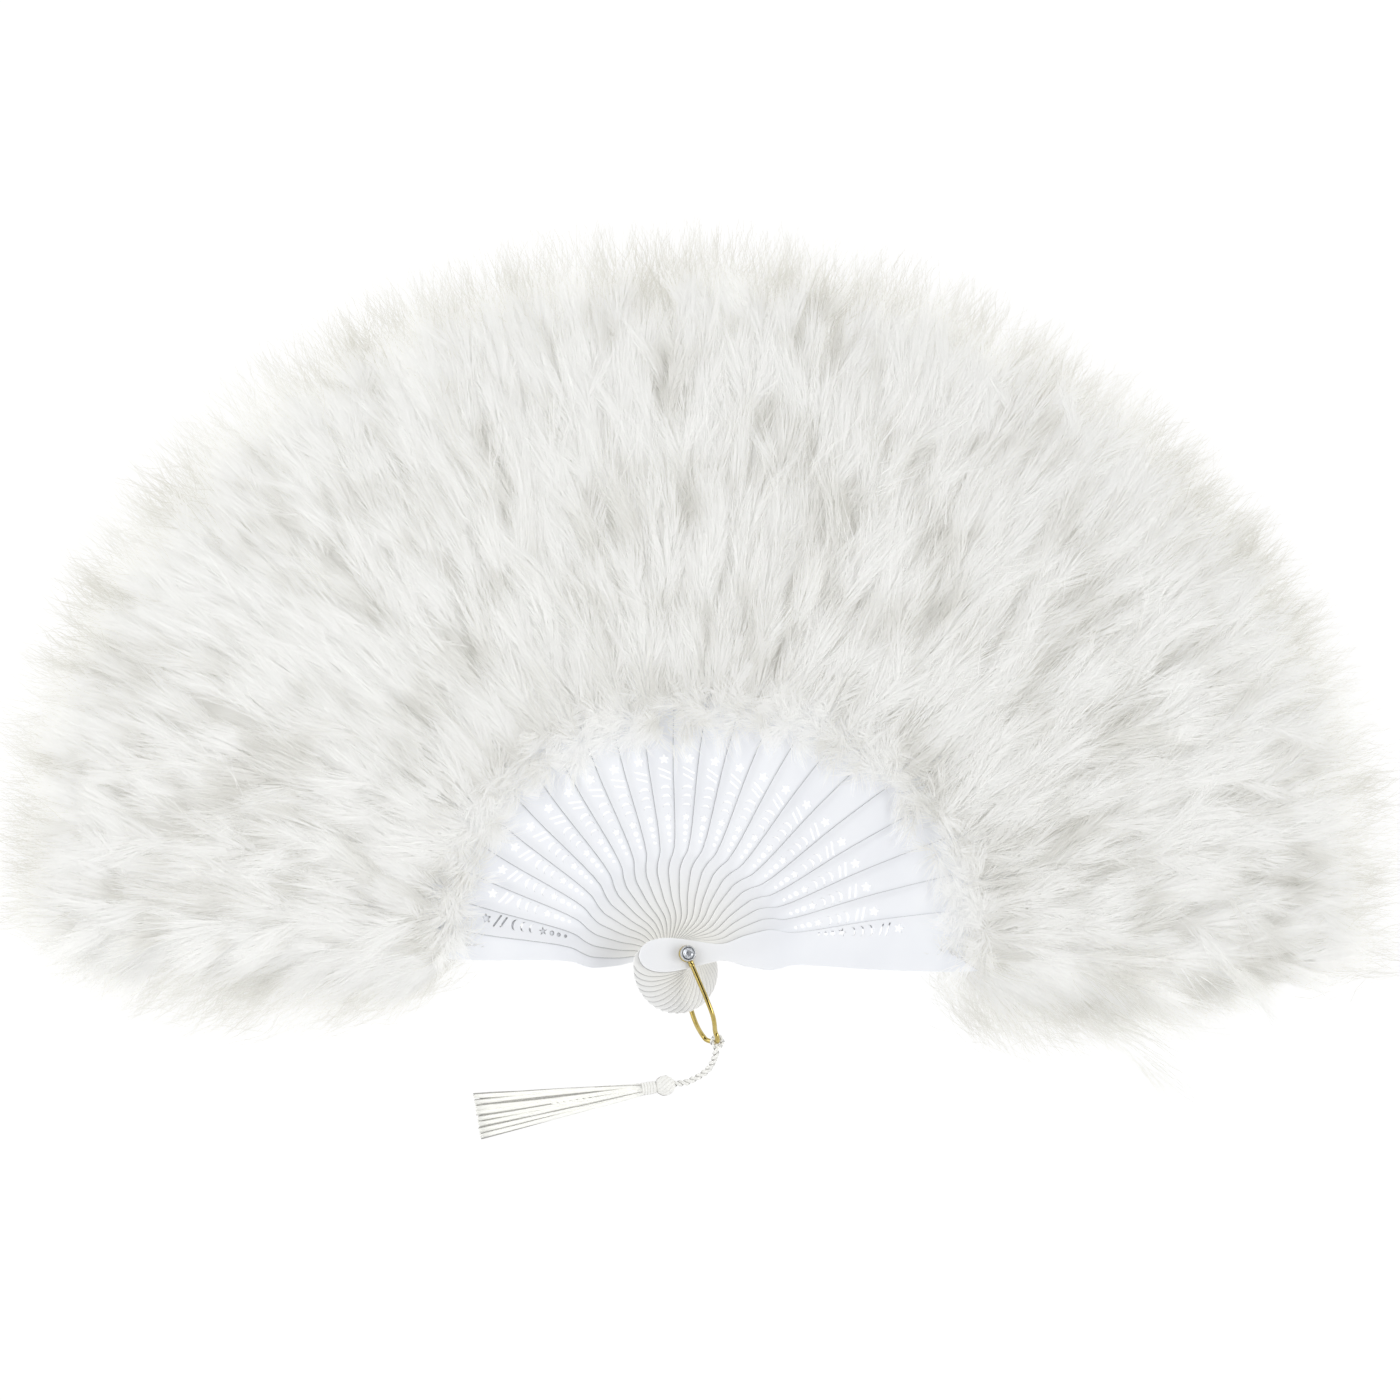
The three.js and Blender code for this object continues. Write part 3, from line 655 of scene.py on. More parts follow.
def skirt_thread(across, crown, skew, shade, thread_r=THREAD_R):
    """One thread: across is its place at the cut end, crown its height in its lock there."""
    start_turn = rng.uniform(0, 2 * np.pi)
    start_r = (BAND_R - 0.7) * math.sqrt(rng.uniform(0.1, 1))
    y0 = 0.7 * across * BAND_R + 0.3 * start_r * math.cos(start_turn)
    z0 = start_r * math.sin(start_turn)
    length = SKIRT_LENGTH * (1 - 0.015 * abs(rng.normal()))
    wave = 0.3 * np.sin(2 * np.pi * (run * rng.uniform(0.6, 1.4) + rng.uniform())) * run
    drift = skew * np.sin(np.pi * run) * SKIRT_HALF
    y = y0 + (across * (SKIRT_HALF - thread_r) - y0) * run**0.9 + wave + drift
    tall = LOCK_TALL * (1 - 0.4 * across**2) * crown
    z = (KNOB[2] + z0) * (1 - settle) + (THREAD_R + 0.1 + tall) * settle
    strands.append(tube(np.stack([run * length, y, z - KNOB[2]], axis=1), thread_r, 5))
    skirt_tone.append(np.full(len(strands[-1][0]), shade))


for at, skew in zip(lock_at, lock_skew):
    for aside in np.clip(rng.normal(0, 0.042, LOCK_THREADS), -0.09, 0.09):
        crown = (1 - 0.6 * (aside / LOCK_HALF) ** 2) * rng.uniform(0.5, 1)
        shade = 0.85 - 0.2 * (aside / LOCK_HALF) ** 4
        skirt_thread(np.clip(at + aside, -0.97, 0.97), crown, skew, shade)
for at in [-0.99, *(lock_at[:-1] + lock_at[1:]) / 2, 0.99]:
    for _ in range(GAP_THREADS):
        across = np.clip(at + rng.normal(0, 0.01), -1, 1)
        skirt_thread(across, rng.uniform(0.2, 0.7), 0, GAP_TONE, GAP_THREAD_R)
points, faces = gather(strands)
points = along_tassel(points, BAND_FROM + BAND_LENGTH + GAP)
tassel_skirt = thread_piece("tassel_threads", points, faces, "tassel_skirt", np.concatenate(skirt_tone))
print("skirt:", len(strands), "threads,", len(tassel_skirt.data.polygons), "faces")

# %% Say what the cord is
print("declared", tassel_cord.name)

# %% [markdown]
# ## Sticks
#
# Each stick is one flat moulding: a round head on the rivet, a narrow neck, a shoulder, and a blade that
# widens under the down. The heads are graduated, so that their ends lie on one circle a little off the rivet.
# Dots, a star, crescents, slanted bars and a flower are cut through the blade. A flat filled curve with
# holes, given a thickness and a small rounded edge, makes this in one step, and the edge is what catches the
# light along each stick.

# %% The outline of a blade
HEAD_HALF, NECK_AT, NECK_HALF = 8.2, 18, 4.1
HEADS_R, HEADS_X, HEADS_Y, GUARD_SHORT = 22.5, -3.2, -5.9, 2
SHOULDER_AT, SHOULDER_HALF, WAIST_AT, WAIST_HALF, BLADE_HALF = 41, 9.8, 52, 7.9, 14.8
PIERCE_START, PIERCE_STEP, PIERCE_SIDE, PIERCE_SLANT = 56, 5.3, 3.3, 0.0245
GUARD_SHIFT, GUARD_SIDE = 10, 3.4


def head_of(index):
    """How far a head reaches past the rivet to the circle of heads; a guard stops short of it."""
    way = angle_of(index) + math.pi
    along = HEADS_X * math.cos(way) + HEADS_Y * math.sin(way)
    aside = HEADS_X * math.sin(way) - HEADS_Y * math.cos(way)
    return along + math.sqrt(HEADS_R**2 - aside**2) - GUARD_SHORT * is_guard(index)


def centre_at(x, guard):
    """The line a blade is centred on: its axis on a guard, its row of cut-outs on an inner stick."""
    if guard:
        return 0 * x
    side = PIERCE_SIDE + PIERCE_SLANT * np.maximum(0, x - PIERCE_START)
    return smoothstep(x, NECK_AT, PIERCE_START) * side


def blade_outline(index):
    blade_at = 0.85 * STICK_LENGTH
    head, guard = head_of(index), is_guard(index)
    x, left = np.array(
        [
            (-0.94 * head, 0.46 * HEAD_HALF),
            (-0.78 * head, 0.83 * HEAD_HALF),
            (-0.5 * head, HEAD_HALF),
            (-0.2 * head, 0.95 * HEAD_HALF),
            (0.3 * NECK_AT, 0.72 * HEAD_HALF),
            (NECK_AT, NECK_HALF),
            (0.55 * NECK_AT + 0.45 * SHOULDER_AT, 0.45 * NECK_HALF + 0.55 * SHOULDER_HALF),
            (0.12 * NECK_AT + 0.88 * SHOULDER_AT, 0.96 * SHOULDER_HALF),
            (SHOULDER_AT, SHOULDER_HALF),
            (0.6 * SHOULDER_AT + 0.4 * WAIST_AT, 0.75 * SHOULDER_HALF + 0.25 * WAIST_HALF),
            (WAIST_AT, WAIST_HALF),
            (0.5 * WAIST_AT + 0.5 * blade_at, 0.35 * WAIST_HALF + 0.65 * BLADE_HALF),
            (blade_at, BLADE_HALF),
        ]
    ).T
    tip = np.array([0.96, 0.995]) * STICK_LENGTH
    half = np.array([0.86, 0.5]) * (BLADE_HALF - centre_at(blade_at, guard))
    right = np.append(2 * centre_at(x, guard) - left, centre_at(tip, guard) - half)
    left = np.append(left, centre_at(tip, guard) + half)
    x = np.append(x, tip)
    ends = [(-head, 0)], [(STICK_LENGTH, float(centre_at(STICK_LENGTH, guard)))]
    lower, upper = np.stack([x, right], axis=1), np.stack([x, left], axis=1)
    loop = np.vstack([ends[0], lower, ends[1], upper[::-1], ends[0]])
    return spline(np.pad(loop, ((0, 0), (0, 1))), 6)[:-1, :2]


print("heads reach past the rivet by", [round(head_of(index), 1) for index in range(0, STICKS, 4)], "mm")


# %% The cut-outs
def petal_cut(x, y, r, sides, depth=0, points=5):
    """A round cut, or a star or flower whose edge goes in by a share of r between its points."""
    a = 2 * np.pi * np.arange(sides) / sides
    reach = r * (1 - depth / 2 + depth / 2 * np.cos(points * a))
    return np.stack([x + reach * np.cos(a), y + reach * np.sin(a)], axis=1)


def crescent_cut(x, y, half):
    a = np.linspace(-np.pi / 2, np.pi / 2, 15)
    outer = np.stack([x + half * (0.86 * np.cos(a) - 0.45), y + half * np.sin(a)], axis=1)
    inner = np.stack([x + half * (0.4 * np.cos(a) - 0.45), y + half * np.sin(a)], axis=1)
    return np.vstack([outer, inner[-2:0:-1]])


def bar_cut(x, y, half, flip, end_r=0.5, slant=0.42):
    a = np.linspace(0, np.pi, 7)
    end = np.stack([end_r * np.cos(a), half - end_r + end_r * np.sin(a)], axis=1)
    loop = np.vstack([end, -end])
    return np.stack([x + loop[:, 0] + slant * flip * loop[:, 1], y + loop[:, 1]], axis=1)


def cuts(side, shift, flip):
    def at(step):
        return PIERCE_START + shift + step * PIERCE_STEP, flip * (side + PIERCE_SLANT * step * PIERCE_STEP)

    made = [petal_cut(*at(0.64 * k), r, 24) for k, r in enumerate((0.8, 1.0, 1.2))]
    made.append(petal_cut(*at(2.13), 2.1, 10, 0.55))
    made += [crescent_cut(*at(3.3 + 0.81 * k), half) for k, half in enumerate((2.0, 2.3, 2.6))]
    made += [bar_cut(*at(5.85 + 0.6 * k), half, flip) for k, half in enumerate((2.8, 3.2))]
    made.append(petal_cut(*at(7.5), 2.4, 50, 0.52))
    return made


print("cut-outs on a stick:", len(cuts(PIERCE_SIDE, 0, 1)))

# %% Fill, thicken and round the edge
EDGE_R, HOLE_R = 0.16, PIN_R + PIN_GAP
INNER_TONE, GUARD_TONE = 1.0, 0.3


def blade_mesh(index):
    flip = -1 if index == 0 else 1
    side, shift = (PIERCE_SIDE + GUARD_SIDE, GUARD_SHIFT) if is_guard(index) else (PIERCE_SIDE, 0)
    loops = [blade_outline(index), petal_cut(0, 0, HOLE_R, 24), *cuts(side, shift, flip)]
    flat = bpy.data.curves.new("flat_blade", "CURVE")
    flat.dimensions = "2D"
    flat.fill_mode = "BOTH"
    flat.extrude = (thick_of(index) / 2 - EDGE_R) * 0.001
    flat.bevel_depth = EDGE_R * 0.001
    flat.bevel_resolution = 1
    flat.offset = -EDGE_R * 0.001
    for loop in loops:
        line = flat.splines.new("POLY")
        line.points.add(len(loop) - 1)
        line.points.foreach_set("co", np.hstack([loop * 0.001, np.zeros_like(loop) + [0, 1]]).ravel())
        line.use_cyclic_u = True
    holder = add_object("flat_blade", flat)
    mesh = bpy.data.meshes.new_from_object(holder.evaluated_get(bpy.context.evaluated_depsgraph_get()))
    bpy.data.objects.remove(holder)
    bpy.data.curves.remove(flat)
    return mesh


for index in range(STICKS):
    mesh = blade_mesh(index)
    points = read_points(mesh) * 1000 + [0, 0, bottom_of(index) + thick_of(index) / 2]
    faces = [tuple(face.vertices) for face in mesh.polygons]
    bpy.data.meshes.remove(mesh)
    points = turn_about_rivet(points, angle_of(index))
    tone = np.full(len(points), GUARD_TONE if is_guard(index) else INNER_TONE)
    name, node = f"{BLADES[index]}_moulding", [BLADES[index]]
    look = {"smooth": False, "tone": tone}
    blade = make_piece(name, points, faces, polystyrene, BODIES[index], node, "white_plastic", **look)
print("sticks:", STICKS, "with", len(blade.data.polygons), "faces on the last")

# %% [markdown]
# ## Rivet
#
# A pin with a flat rear head holds the stack. Its front end carries a small nickel cup with a beaded rim, and
# the cup holds one round cut stone. The cup is turned from a profile, the beads are set round its rim, and
# the stone has a flat table with two rows of facets.


# %% Turned profiles
def turned(profile, around):
    """Points and faces from a profile of (radius, height) that starts and ends on the axis."""
    profile = np.asarray(profile, float)
    a = 2 * np.pi * np.arange(around) / around
    rows = profile[1:-1]
    grid = np.stack(
        [rows[:, :1] * np.cos(a), rows[:, :1] * np.sin(a), np.repeat(rows[:, 1:], around, axis=1)], axis=2
    )
    points = np.vstack([grid.reshape(-1, 3), [[0, 0, profile[0, 1]], [0, 0, profile[-1, 1]]]])
    faces = ring_quads(len(rows), around)
    first, last = len(points) - 2, len(points) - 1
    top = (len(rows) - 1) * around
    for k in range(around):
        faces.append((first, (k + 1) % around, k))
        faces.append((last, top + k, top + (k + 1) % around))
    return points, faces


# %% The cup and its beads
SETTING_R, SETTING_TALL = 3.9, 2.1
SOCKET, SEAT, STONE_SEAT_R = 0.48 * SETTING_TALL, 0.7 * SETTING_TALL, 0.76 * SETTING_R
BEADS, BEAD_R, BEAD_Z, RIM_R = 18, 0.4, 1.7, 0.9 * SETTING_R
# the cup's wall from its foot, round its rim and down to the seat
WALL_SHARE = [0.86, 0.96, 1, 1, 0.94, 0.94, 0.9, 0.83, 0.78]
WALL_HEIGHT = [0, 0.15, 0.5, 0.8, 1.0, 1.35, 1.8, 1.95, 1.85]
socket = [(0, SOCKET), (HOLE_R, SOCKET), (HOLE_R, 0)]
wall = [(share * SETTING_R, height) for share, height in zip(WALL_SHARE, WALL_HEIGHT)]
profile = np.array([*socket, *wall, (STONE_SEAT_R, SEAT), (0, SEAT)])
parts = [turned(profile + [0, SETTING_Z], 48)]
bead_profile = [(BEAD_R * math.cos(h), BEAD_R * math.sin(h)) for h in np.linspace(-np.pi / 2, np.pi / 2, 8)]
bead, bead_faces = turned(bead_profile, 10)
for k in range(BEADS):
    a = 2 * np.pi * k / BEADS
    parts.append((bead + [RIM_R * math.cos(a), RIM_R * math.sin(a), SETTING_Z + BEAD_Z], bead_faces))
points, faces = gather(parts)
make_piece("rivet_cup", points, faces, nickel_plate, "rear_leaf", ["rivet_setting"], "silver_metal")
print("cup:", len(faces), "faces,", BEADS, "beads")

# %% The stone and the pin
STONE_Z = SETTING_Z + SEAT + GAP / 2
STONE_R = STONE_SEAT_R - GAP
FACETS = 16
crown = [(STONE_R, 0), (STONE_R, 0.32), (0.8 * STONE_R, 0.86), (0.53 * STONE_R, 1.22)]
rings = []
for level, (r, z) in enumerate(crown):
    a = 2 * np.pi * (np.arange(FACETS) + 0.5 * (level % 2)) / FACETS
    rings.append(np.stack([r * np.cos(a), r * np.sin(a), np.full(FACETS, STONE_Z + z)], axis=1))
points, faces = skin(np.array(rings))
faces = [face[::-1] for face in faces]
name = "rivet_cut_stone"
make_piece(name, points, faces, cut_glass, "rear_leaf", ["rivet_stone"], "cut_stone", smooth=False)
PIN_TOP = SETTING_Z + SOCKET - GAP
rear_head = [(0, 0), (3.6, 0), (4.0, 0.12), (4.2, 0.45), (4.1, 0.85), (3.7, 1.15), (PIN_R, REAR_HEAD_THICK)]
points, faces = turned([*rear_head, (PIN_R, PIN_TOP), (0, PIN_TOP)], 40)
make_piece("rivet_pin_turned", points, faces, nickel_plate, "rear_leaf", ["rivet_pin"], "silver_metal")
print("stone:", FACETS, "facets round, pin", round(PIN_TOP, 1), "mm tall")

# %% [markdown]
# ## Bail
#
# The bail is one bent wire: an eye over the front guard, a leg out past the heads, a tight bend that carries
# the tassel, and the same back under the rear guard. Its rear leg bows to the left, so both legs show. It is
# a tube along that line. A short ferrule sits on the front leg where the eye was closed.

# %% Bend the wire
EYE_R, REAR_BOW, FERRULE_FROM, FERRULE_TO = 3.7, 0.78, 3.6, 6.8
clear = HEADS_R + math.hypot(HEADS_X, HEADS_Y) + 2 * WIRE_R + GAP
leg_from = (HOLE_R + EYE_R) / 2
bend_at = BAIL_LENGTH - BAIL_END_R
stops = [(leg_from, 0, FRONT_WIRE_Z), (clear, 0, FRONT_WIRE_Z)]
for k in range(11):
    a = math.pi / 2 - math.pi * k / 10
    bow = -BAIL_BOW * max(0, -math.sin(a)) ** 2
    stops.append((bend_at + BAIL_END_R * math.cos(a), bow, BAIL_MID_Z + BAIL_END_R * math.sin(a)))
stops += [(clear, -REAR_BOW * BAIL_BOW, REAR_WIRE_Z), (leg_from, 0, REAR_WIRE_Z)]
parts = [tube(spline(stops, 10), WIRE_R, 16)]
a = np.linspace(0, 2 * np.pi, 48, endpoint=False)
for z in (FRONT_WIRE_Z, REAR_WIRE_Z):
    across = HOLE_R + WIRE_R
    eye = np.stack([across * np.cos(a), across * np.sin(a), np.full_like(a, z)], axis=1)
    parts.append(tube(eye, WIRE_R, 14, closed=True))
swell = np.array([1.15, 1.35, 1.42, 1.3, 1.22, 1.3, 1.42, 1.35, 1.15])
ferrule = np.full((len(swell), 3), [0, 0, FRONT_WIRE_Z])
ferrule[:, 0] = np.linspace(FERRULE_FROM, FERRULE_TO, len(swell))
parts.append(tube(ferrule, swell, 18))
points, faces = gather(parts)
points = turn_about_rivet(points, BAIL_ANGLE)
bail = make_piece("bail_wire", points, faces, gold_plate, "bail_hoop", ["bail"], "gold_wire")
print("bail:", len(bail.data.polygons), "faces")

# %% [markdown]
# ## Linking ribbon
#
# A satin ribbon is glued to the face of every stick under the down and stops the fan at its full spread. When
# the fan folds, the ribbon folds between the sticks, so each stick here carries its own short length, which
# reaches half the pitch to each side and meets the next one's.

# %% Ribbon on each stick
RIBBON_AT, RIBBON_WIDE, RIBBON_THICK = 150, 6, 0.4
# from and to across each stick, in shares of the pitch: the ribbon stops on the face of a guard
RIBBON_SPANS = {0: (-0.5, 0.3), STICKS - 1: (-0.3, 0.5)}
inner, outer = RIBBON_AT - RIBBON_WIDE / 2, RIBBON_AT + RIBBON_WIDE / 2
for index in range(STICKS):
    rows = []
    for share in np.linspace(*RIBBON_SPANS.get(index, (-0.5, 0.52)), 9):
        a = math.radians(PITCH * share)
        z = top_of(index) + GAP + 0.08 * math.sin(9 * share)
        corners = ((inner, z), (outer, z), (outer, z + RIBBON_THICK), (inner, z + RIBBON_THICK))
        rows.append([(r * math.cos(a), r * math.sin(a), height) for r, height in corners])
    points, faces = skin(np.array(rows))
    points = turn_about_rivet(points, angle_of(index))
    faces = [face[::-1] for face in faces]
    name = f"ribbon_{index:02d}"
    make_piece(name, points, faces, satin, BODIES[index], ["linking_ribbon"], "satin_ribbon")
print("ribbon:", STICKS, "lengths")

# %% [markdown]
# ## Plumes of down
#
# A marabou feather has a thin soft shaft and hundreds of long loose barbs that leave it at an angle, bend
# forward and drift into locks. Seven rows of such feathers are tied to the front of every stick and two to
# the back, so tips of one row lie over the roots of the next. Single loose barbs blur the outer edge, and
# over each guard more feathers drape down to the table. Hair particles would draw this quickly, but they
# aren't mesh, so here each barb is a narrow tapering strip of a few quads, and numpy makes all the barbs of a
# plume at once. Under them a soft core, taken from the model's own plume and pulled in, keeps the middle of
# the plume from being see-through.

# %% The space a plume fills
PLUME_START, PLUME_END, PLUME_LOFT, PLUME_REST = 104, 347, 15, 7
FRONT_BARE, BARE_STICKS, LOWEST = 26, 11, 0.4
LOFT_AT = [0, 0.12, 0.3, 0.5, 0.72, 0.88, 0.97, 1.05, 1.2]
LOFT_SHARE = [0.14, 0.66, 0.96, 1, 0.93, 0.72, 0.42, 0.15, 0.05]


def start_of(index):
    bare = max(0, 1 - (STICKS - 1 - index) / BARE_STICKS)
    return PLUME_START + FRONT_BARE * math.sin(math.pi / 2 * bare)


def squeeze_of(index):
    """The rows are laid out for the longest plume, and a plume that starts farther out takes this share."""
    return (PLUME_END - start_of(index)) / (PLUME_END - PLUME_START)


def outward(index):
    """The side of a guard that faces off the fan."""
    return 1 if index == 0 else -1


def height_in_plume(index, x, lift):
    """Height of a point x from the rivet: lift 0 is the plume's middle, 1 its top and -1 its underside."""
    above = top_of(min(index + 1, STICKS - 1)) + 2 * GAP + RIBBON_THICK
    below = bottom_of(max(index - 1, 0)) - GAP
    share = (x - start_of(index)) / (PLUME_END - start_of(index))
    droop = smoothstep(share, 0.3, 1)
    loft = np.interp(share, LOFT_AT, LOFT_SHARE)
    upper = above + (PLUME_REST - above) * droop + lift * loft * PLUME_LOFT
    rest = below + (PLUME_REST - below) * droop
    lower = rest * (1 + lift * np.minimum(1, 1.3 * loft))
    return np.maximum(np.where(lift >= 0, upper, lower), LOWEST)


print("down from", PLUME_START, "to", PLUME_END, "mm from the rivet, and", FRONT_BARE, "mm later in front")

# %% One feather's barbs
POINTS_ALONG, BARB_WIDE, FEATHER_HALF = 6, 0.42, 11
SHAFT_POINTS, SHAFT_BEND, BARB_CURL, LOCK_PUSH = 30, 0.28, 0.09, 0.14
LOCK_WAVES = (1.3, 3.1, 6.3)


def feather(rng, index, root, heading, length, barbs, spread, barb_length, lift):
    """Centre lines, widths, tones and rolls of one feather's barbs, in the stick's own frame."""
    fine = np.linspace(0, 1, SHAFT_POINTS)
    bend = rng.normal(0, SHAFT_BEND)
    way = heading + bend * fine
    stride = length / (SHAFT_POINTS - 1)
    shaft_x = root[0] + np.concatenate([[0], np.cumsum(np.cos(way[1:]))]) * stride
    shaft_y = root[1] + np.concatenate([[0], np.cumsum(np.sin(way[1:]))]) * stride
    at = np.sort(rng.uniform(0, 1, barbs))
    side = rng.choice([-1.0, 1.0], barbs)
    locks = 0
    for k, waves in enumerate(LOCK_WAVES):
        locks = locks + np.sin(2 * np.pi * (waves * at + rng.uniform() + 0.25 * side)) / (1 + k)
    opening = spread * (1.1 - 0.5 * at) * rng.uniform(0.1, 1.2, barbs)
    long = barb_length * (0.7 + 0.3 * np.sin(np.pi * np.clip(0.15 + 0.75 * at, 0, 1)))
    long = long * rng.uniform(0.65, 1.2, barbs)
    u = np.linspace(0, 1, POINTS_ALONG)[None, :]
    phase = rng.uniform(0, 2 * np.pi, (barbs, 1))
    curl = BARB_CURL * np.sin(phase + 2 * np.pi * u * rng.uniform(0.4, 1.0, (barbs, 1)))
    angle = heading + bend * at[:, None] + side[:, None] * opening[:, None] * (1 - 0.9 * u)
    angle = angle + LOCK_PUSH * locks[:, None] * u + curl
    step = long[:, None] / (POINTS_ALONG - 1)
    base_x, base_y = np.interp(at, fine, shaft_x), np.interp(at, fine, shaft_y)
    x = base_x[:, None] + np.cumsum(np.cos(angle), axis=1) * step
    y = base_y[:, None] + np.cumsum(np.sin(angle), axis=1) * step
    # a feather is arched: its edges lie lower than its middle, and its barbs lie on that slope
    aside = np.cos(way[-1]) * (y - base_y[:, None]) - np.sin(way[-1]) * (x - base_x[:, None])
    arch = np.minimum(1, (aside / FEATHER_HALF) ** 2)
    # and it rises from its root, under the row before it, to its tip, over the row after it
    edge, middle = lift
    along = np.clip(np.hypot(x - root[0], y - root[1]) / (length + 0.7 * barb_length), 0, 1)
    rise = middle + (edge - middle) * (0.12 * rng.uniform(0, 1, (barbs, 1)) + 0.88 * arch)
    rise = rise * (0.5 + 0.5 * smoothstep(along, 0, 0.7)) * rng.normal(1, 0.08)
    z = height_in_plume(index, x, rise)
    slope = 2 * (middle - edge) * PLUME_LOFT * aside / FEATHER_HALF**2
    roll = np.clip(-np.arctan(slope), -0.9, 0.9) + rng.uniform(-0.3, 0.3, (barbs, 1))
    wide = BARB_WIDE * (1 - 0.8 * u) * rng.uniform(0.6, 1.2, (barbs, 1))
    # painted shade: a barb is darker near its feather's root and on the arched edges, where the hollows fall
    # in shade
    tone = 0.4 + 0.45 * along - 0.3 * arch + rng.uniform(-0.08, 0.08, (barbs, 1)) + rng.normal(0, 0.08)
    return np.stack([x, y, z], axis=2), wide, np.clip(tone, 0, 1), roll


def strips(lines, wide, roll):
    """Narrow strips along the lines, rolled about them, as points and quads."""
    tangent = np.gradient(lines, axis=1)
    tangent /= np.linalg.norm(tangent, axis=2, keepdims=True) + 1e-9
    flat = np.stack([-tangent[..., 1], tangent[..., 0], np.zeros_like(tangent[..., 0])], axis=2)
    across = flat * np.cos(roll)[..., None] + np.array([0, 0, 1]) * np.sin(roll)[..., None]
    left, right = lines - across * wide[..., None] / 2, lines + across * wide[..., None] / 2
    points = np.stack([left, right], axis=2).reshape(-1, 3)
    points[:, 2] = np.maximum(points[:, 2], 0.1)
    count, along = lines.shape[:2]
    base = (np.arange(count) * along * 2)[:, None] + (np.arange(along - 1) * 2)[None, :]
    quads = np.stack([base, base + 1, base + 3, base + 2], axis=2).reshape(-1, 4)
    return points, quads


# %% The rows on one stick and the shape of the edge
HALF_PITCH = math.radians(PITCH / 2)
ROWS = [
    # roots from and to, tips from and to, feathers, barbs, opening, barb length, lift of edge and middle
    (2, 18, 36, 54, 6, 150, 0.7, 30, (0.4, 1.1)),
    (28, 50, 68, 90, 6, 160, 0.65, 33, (0.35, 1.1)),
    (58, 82, 100, 122, 7, 160, 0.6, 33, (0.3, 1.05)),
    (90, 114, 132, 154, 7, 170, 0.55, 33, (0.25, 1.0)),
    (122, 146, 162, 184, 8, 170, 0.55, 33, (0.2, 0.95)),
    (152, 176, 188, 206, 9, 170, 0.5, 30, (0.1, 0.9)),
    (178, 198, 204, 220, 9, 150, 0.5, 26, (0.1, 0.8)),
    (10, 60, 110, 150, 4, 160, 0.55, 44, (-0.4, -0.9)),
    (90, 140, 190, 212, 6, 190, 0.5, 40, (-0.2, -0.95)),
]
FRINGE_TUFTS, WISPS, HAZE, LOBE_HAZE, LOBE_FEATHERS = 16, 6, 480, 3000, 96
HAZE_FROM, HAZE_DEEP, HAZE_SHADE_TONE, HAZE_WIDE, ROW_SHORT = 320, 38, 0.25, 0.8 * BARB_WIDE, 0.04
FARTHEST, FARTHER_RIGHT = 367, 17
REACH, REACH_RIGHT, REACH_ENDS, REACH_SLOPES = 1.03, 0.062, 0.016, 0.018
REAR_SHORT, REAR_SHORT_STICKS, FRONT_SHORT, FRONT_SHORT_STICKS = 0.025, 2, 0.06, 3
LOBE_EDGE, LOBE_ROLL, LOBE_PAINTED_LIGHT, LOBE_SOFT, LOBE_THIN = 3.5, 1.2, 0.15, 0.62, 8
LOBES = {
    # distances from the start of the down, and how far the down hangs past the guard's axis there
    0: ([5, 14, 32, 75, 133, 173, 200, 218], [10, 33, 47, 58, 65, 58, 42, 12]),
    STICKS - 1: ([0, 22, 50, 135, 190, 220], [20, 51, 57, 51, 34, 2]),
}
print("rows of feathers:", len(ROWS), "with", sum(row[4] for row in ROWS), "feathers on a stick")


# %% Loose barbs and how far the down goes
def loose_barbs(rng, index, x, y, heading, length, lift):
    """Single thin barbs that blur the edge of the down, from their tips back."""
    count = len(x)
    u = np.linspace(0, 1, POINTS_ALONG)[None, :]
    curl = rng.normal(0, 0.25, (count, 1)) * u + 0.1 * np.sin(rng.uniform(0, 6.3, (count, 1)) + 5 * u)
    angle = heading[:, None] + curl
    back = (1 - u) * length[:, None]
    x = x[:, None] - back * np.cos(angle)
    y = y[:, None] - back * np.sin(angle)
    z = height_in_plume(index, x, np.broadcast_to(lift[:, None], x.shape))
    wide = HAZE_WIDE * (1 - 0.75 * u) * rng.uniform(0.6, 1.2, (count, 1))
    # painted shade: the loose barbs are greyer than the rest of the down, so they show against the glowing
    # table
    tone = HAZE_SHADE_TONE + rng.normal(0, 0.1, (count, 1)) + 0 * u
    roll = rng.uniform(-0.6, 0.6, (count, 1)) + 0 * u
    return np.stack([x, y, z], axis=2), wide, tone, roll


def reach_of(index):
    """The down is longer to the right and on both slopes, and shorter on the last sticks at each end."""
    c = math.cos(angle_of(index))
    slope = math.sin(2 * angle_of(index)) ** 2
    rear = REAR_SHORT * max(0, 1 - index / REAR_SHORT_STICKS)
    front = FRONT_SHORT * max(0, 1 - (STICKS - 1 - index) / FRONT_SHORT_STICKS)
    return REACH + REACH_RIGHT * c + REACH_ENDS * c * c + REACH_SLOPES * slope - (rear + front)


def farthest_of(index):
    """No tip goes past this, so the dressed fan stays near the model's own size."""
    return FARTHEST + FARTHER_RIGHT * max(0, math.cos(angle_of(index)))


print("tips stop", [round(farthest_of(index)) for index in (0, STICKS - 1)], "mm out, left and right")


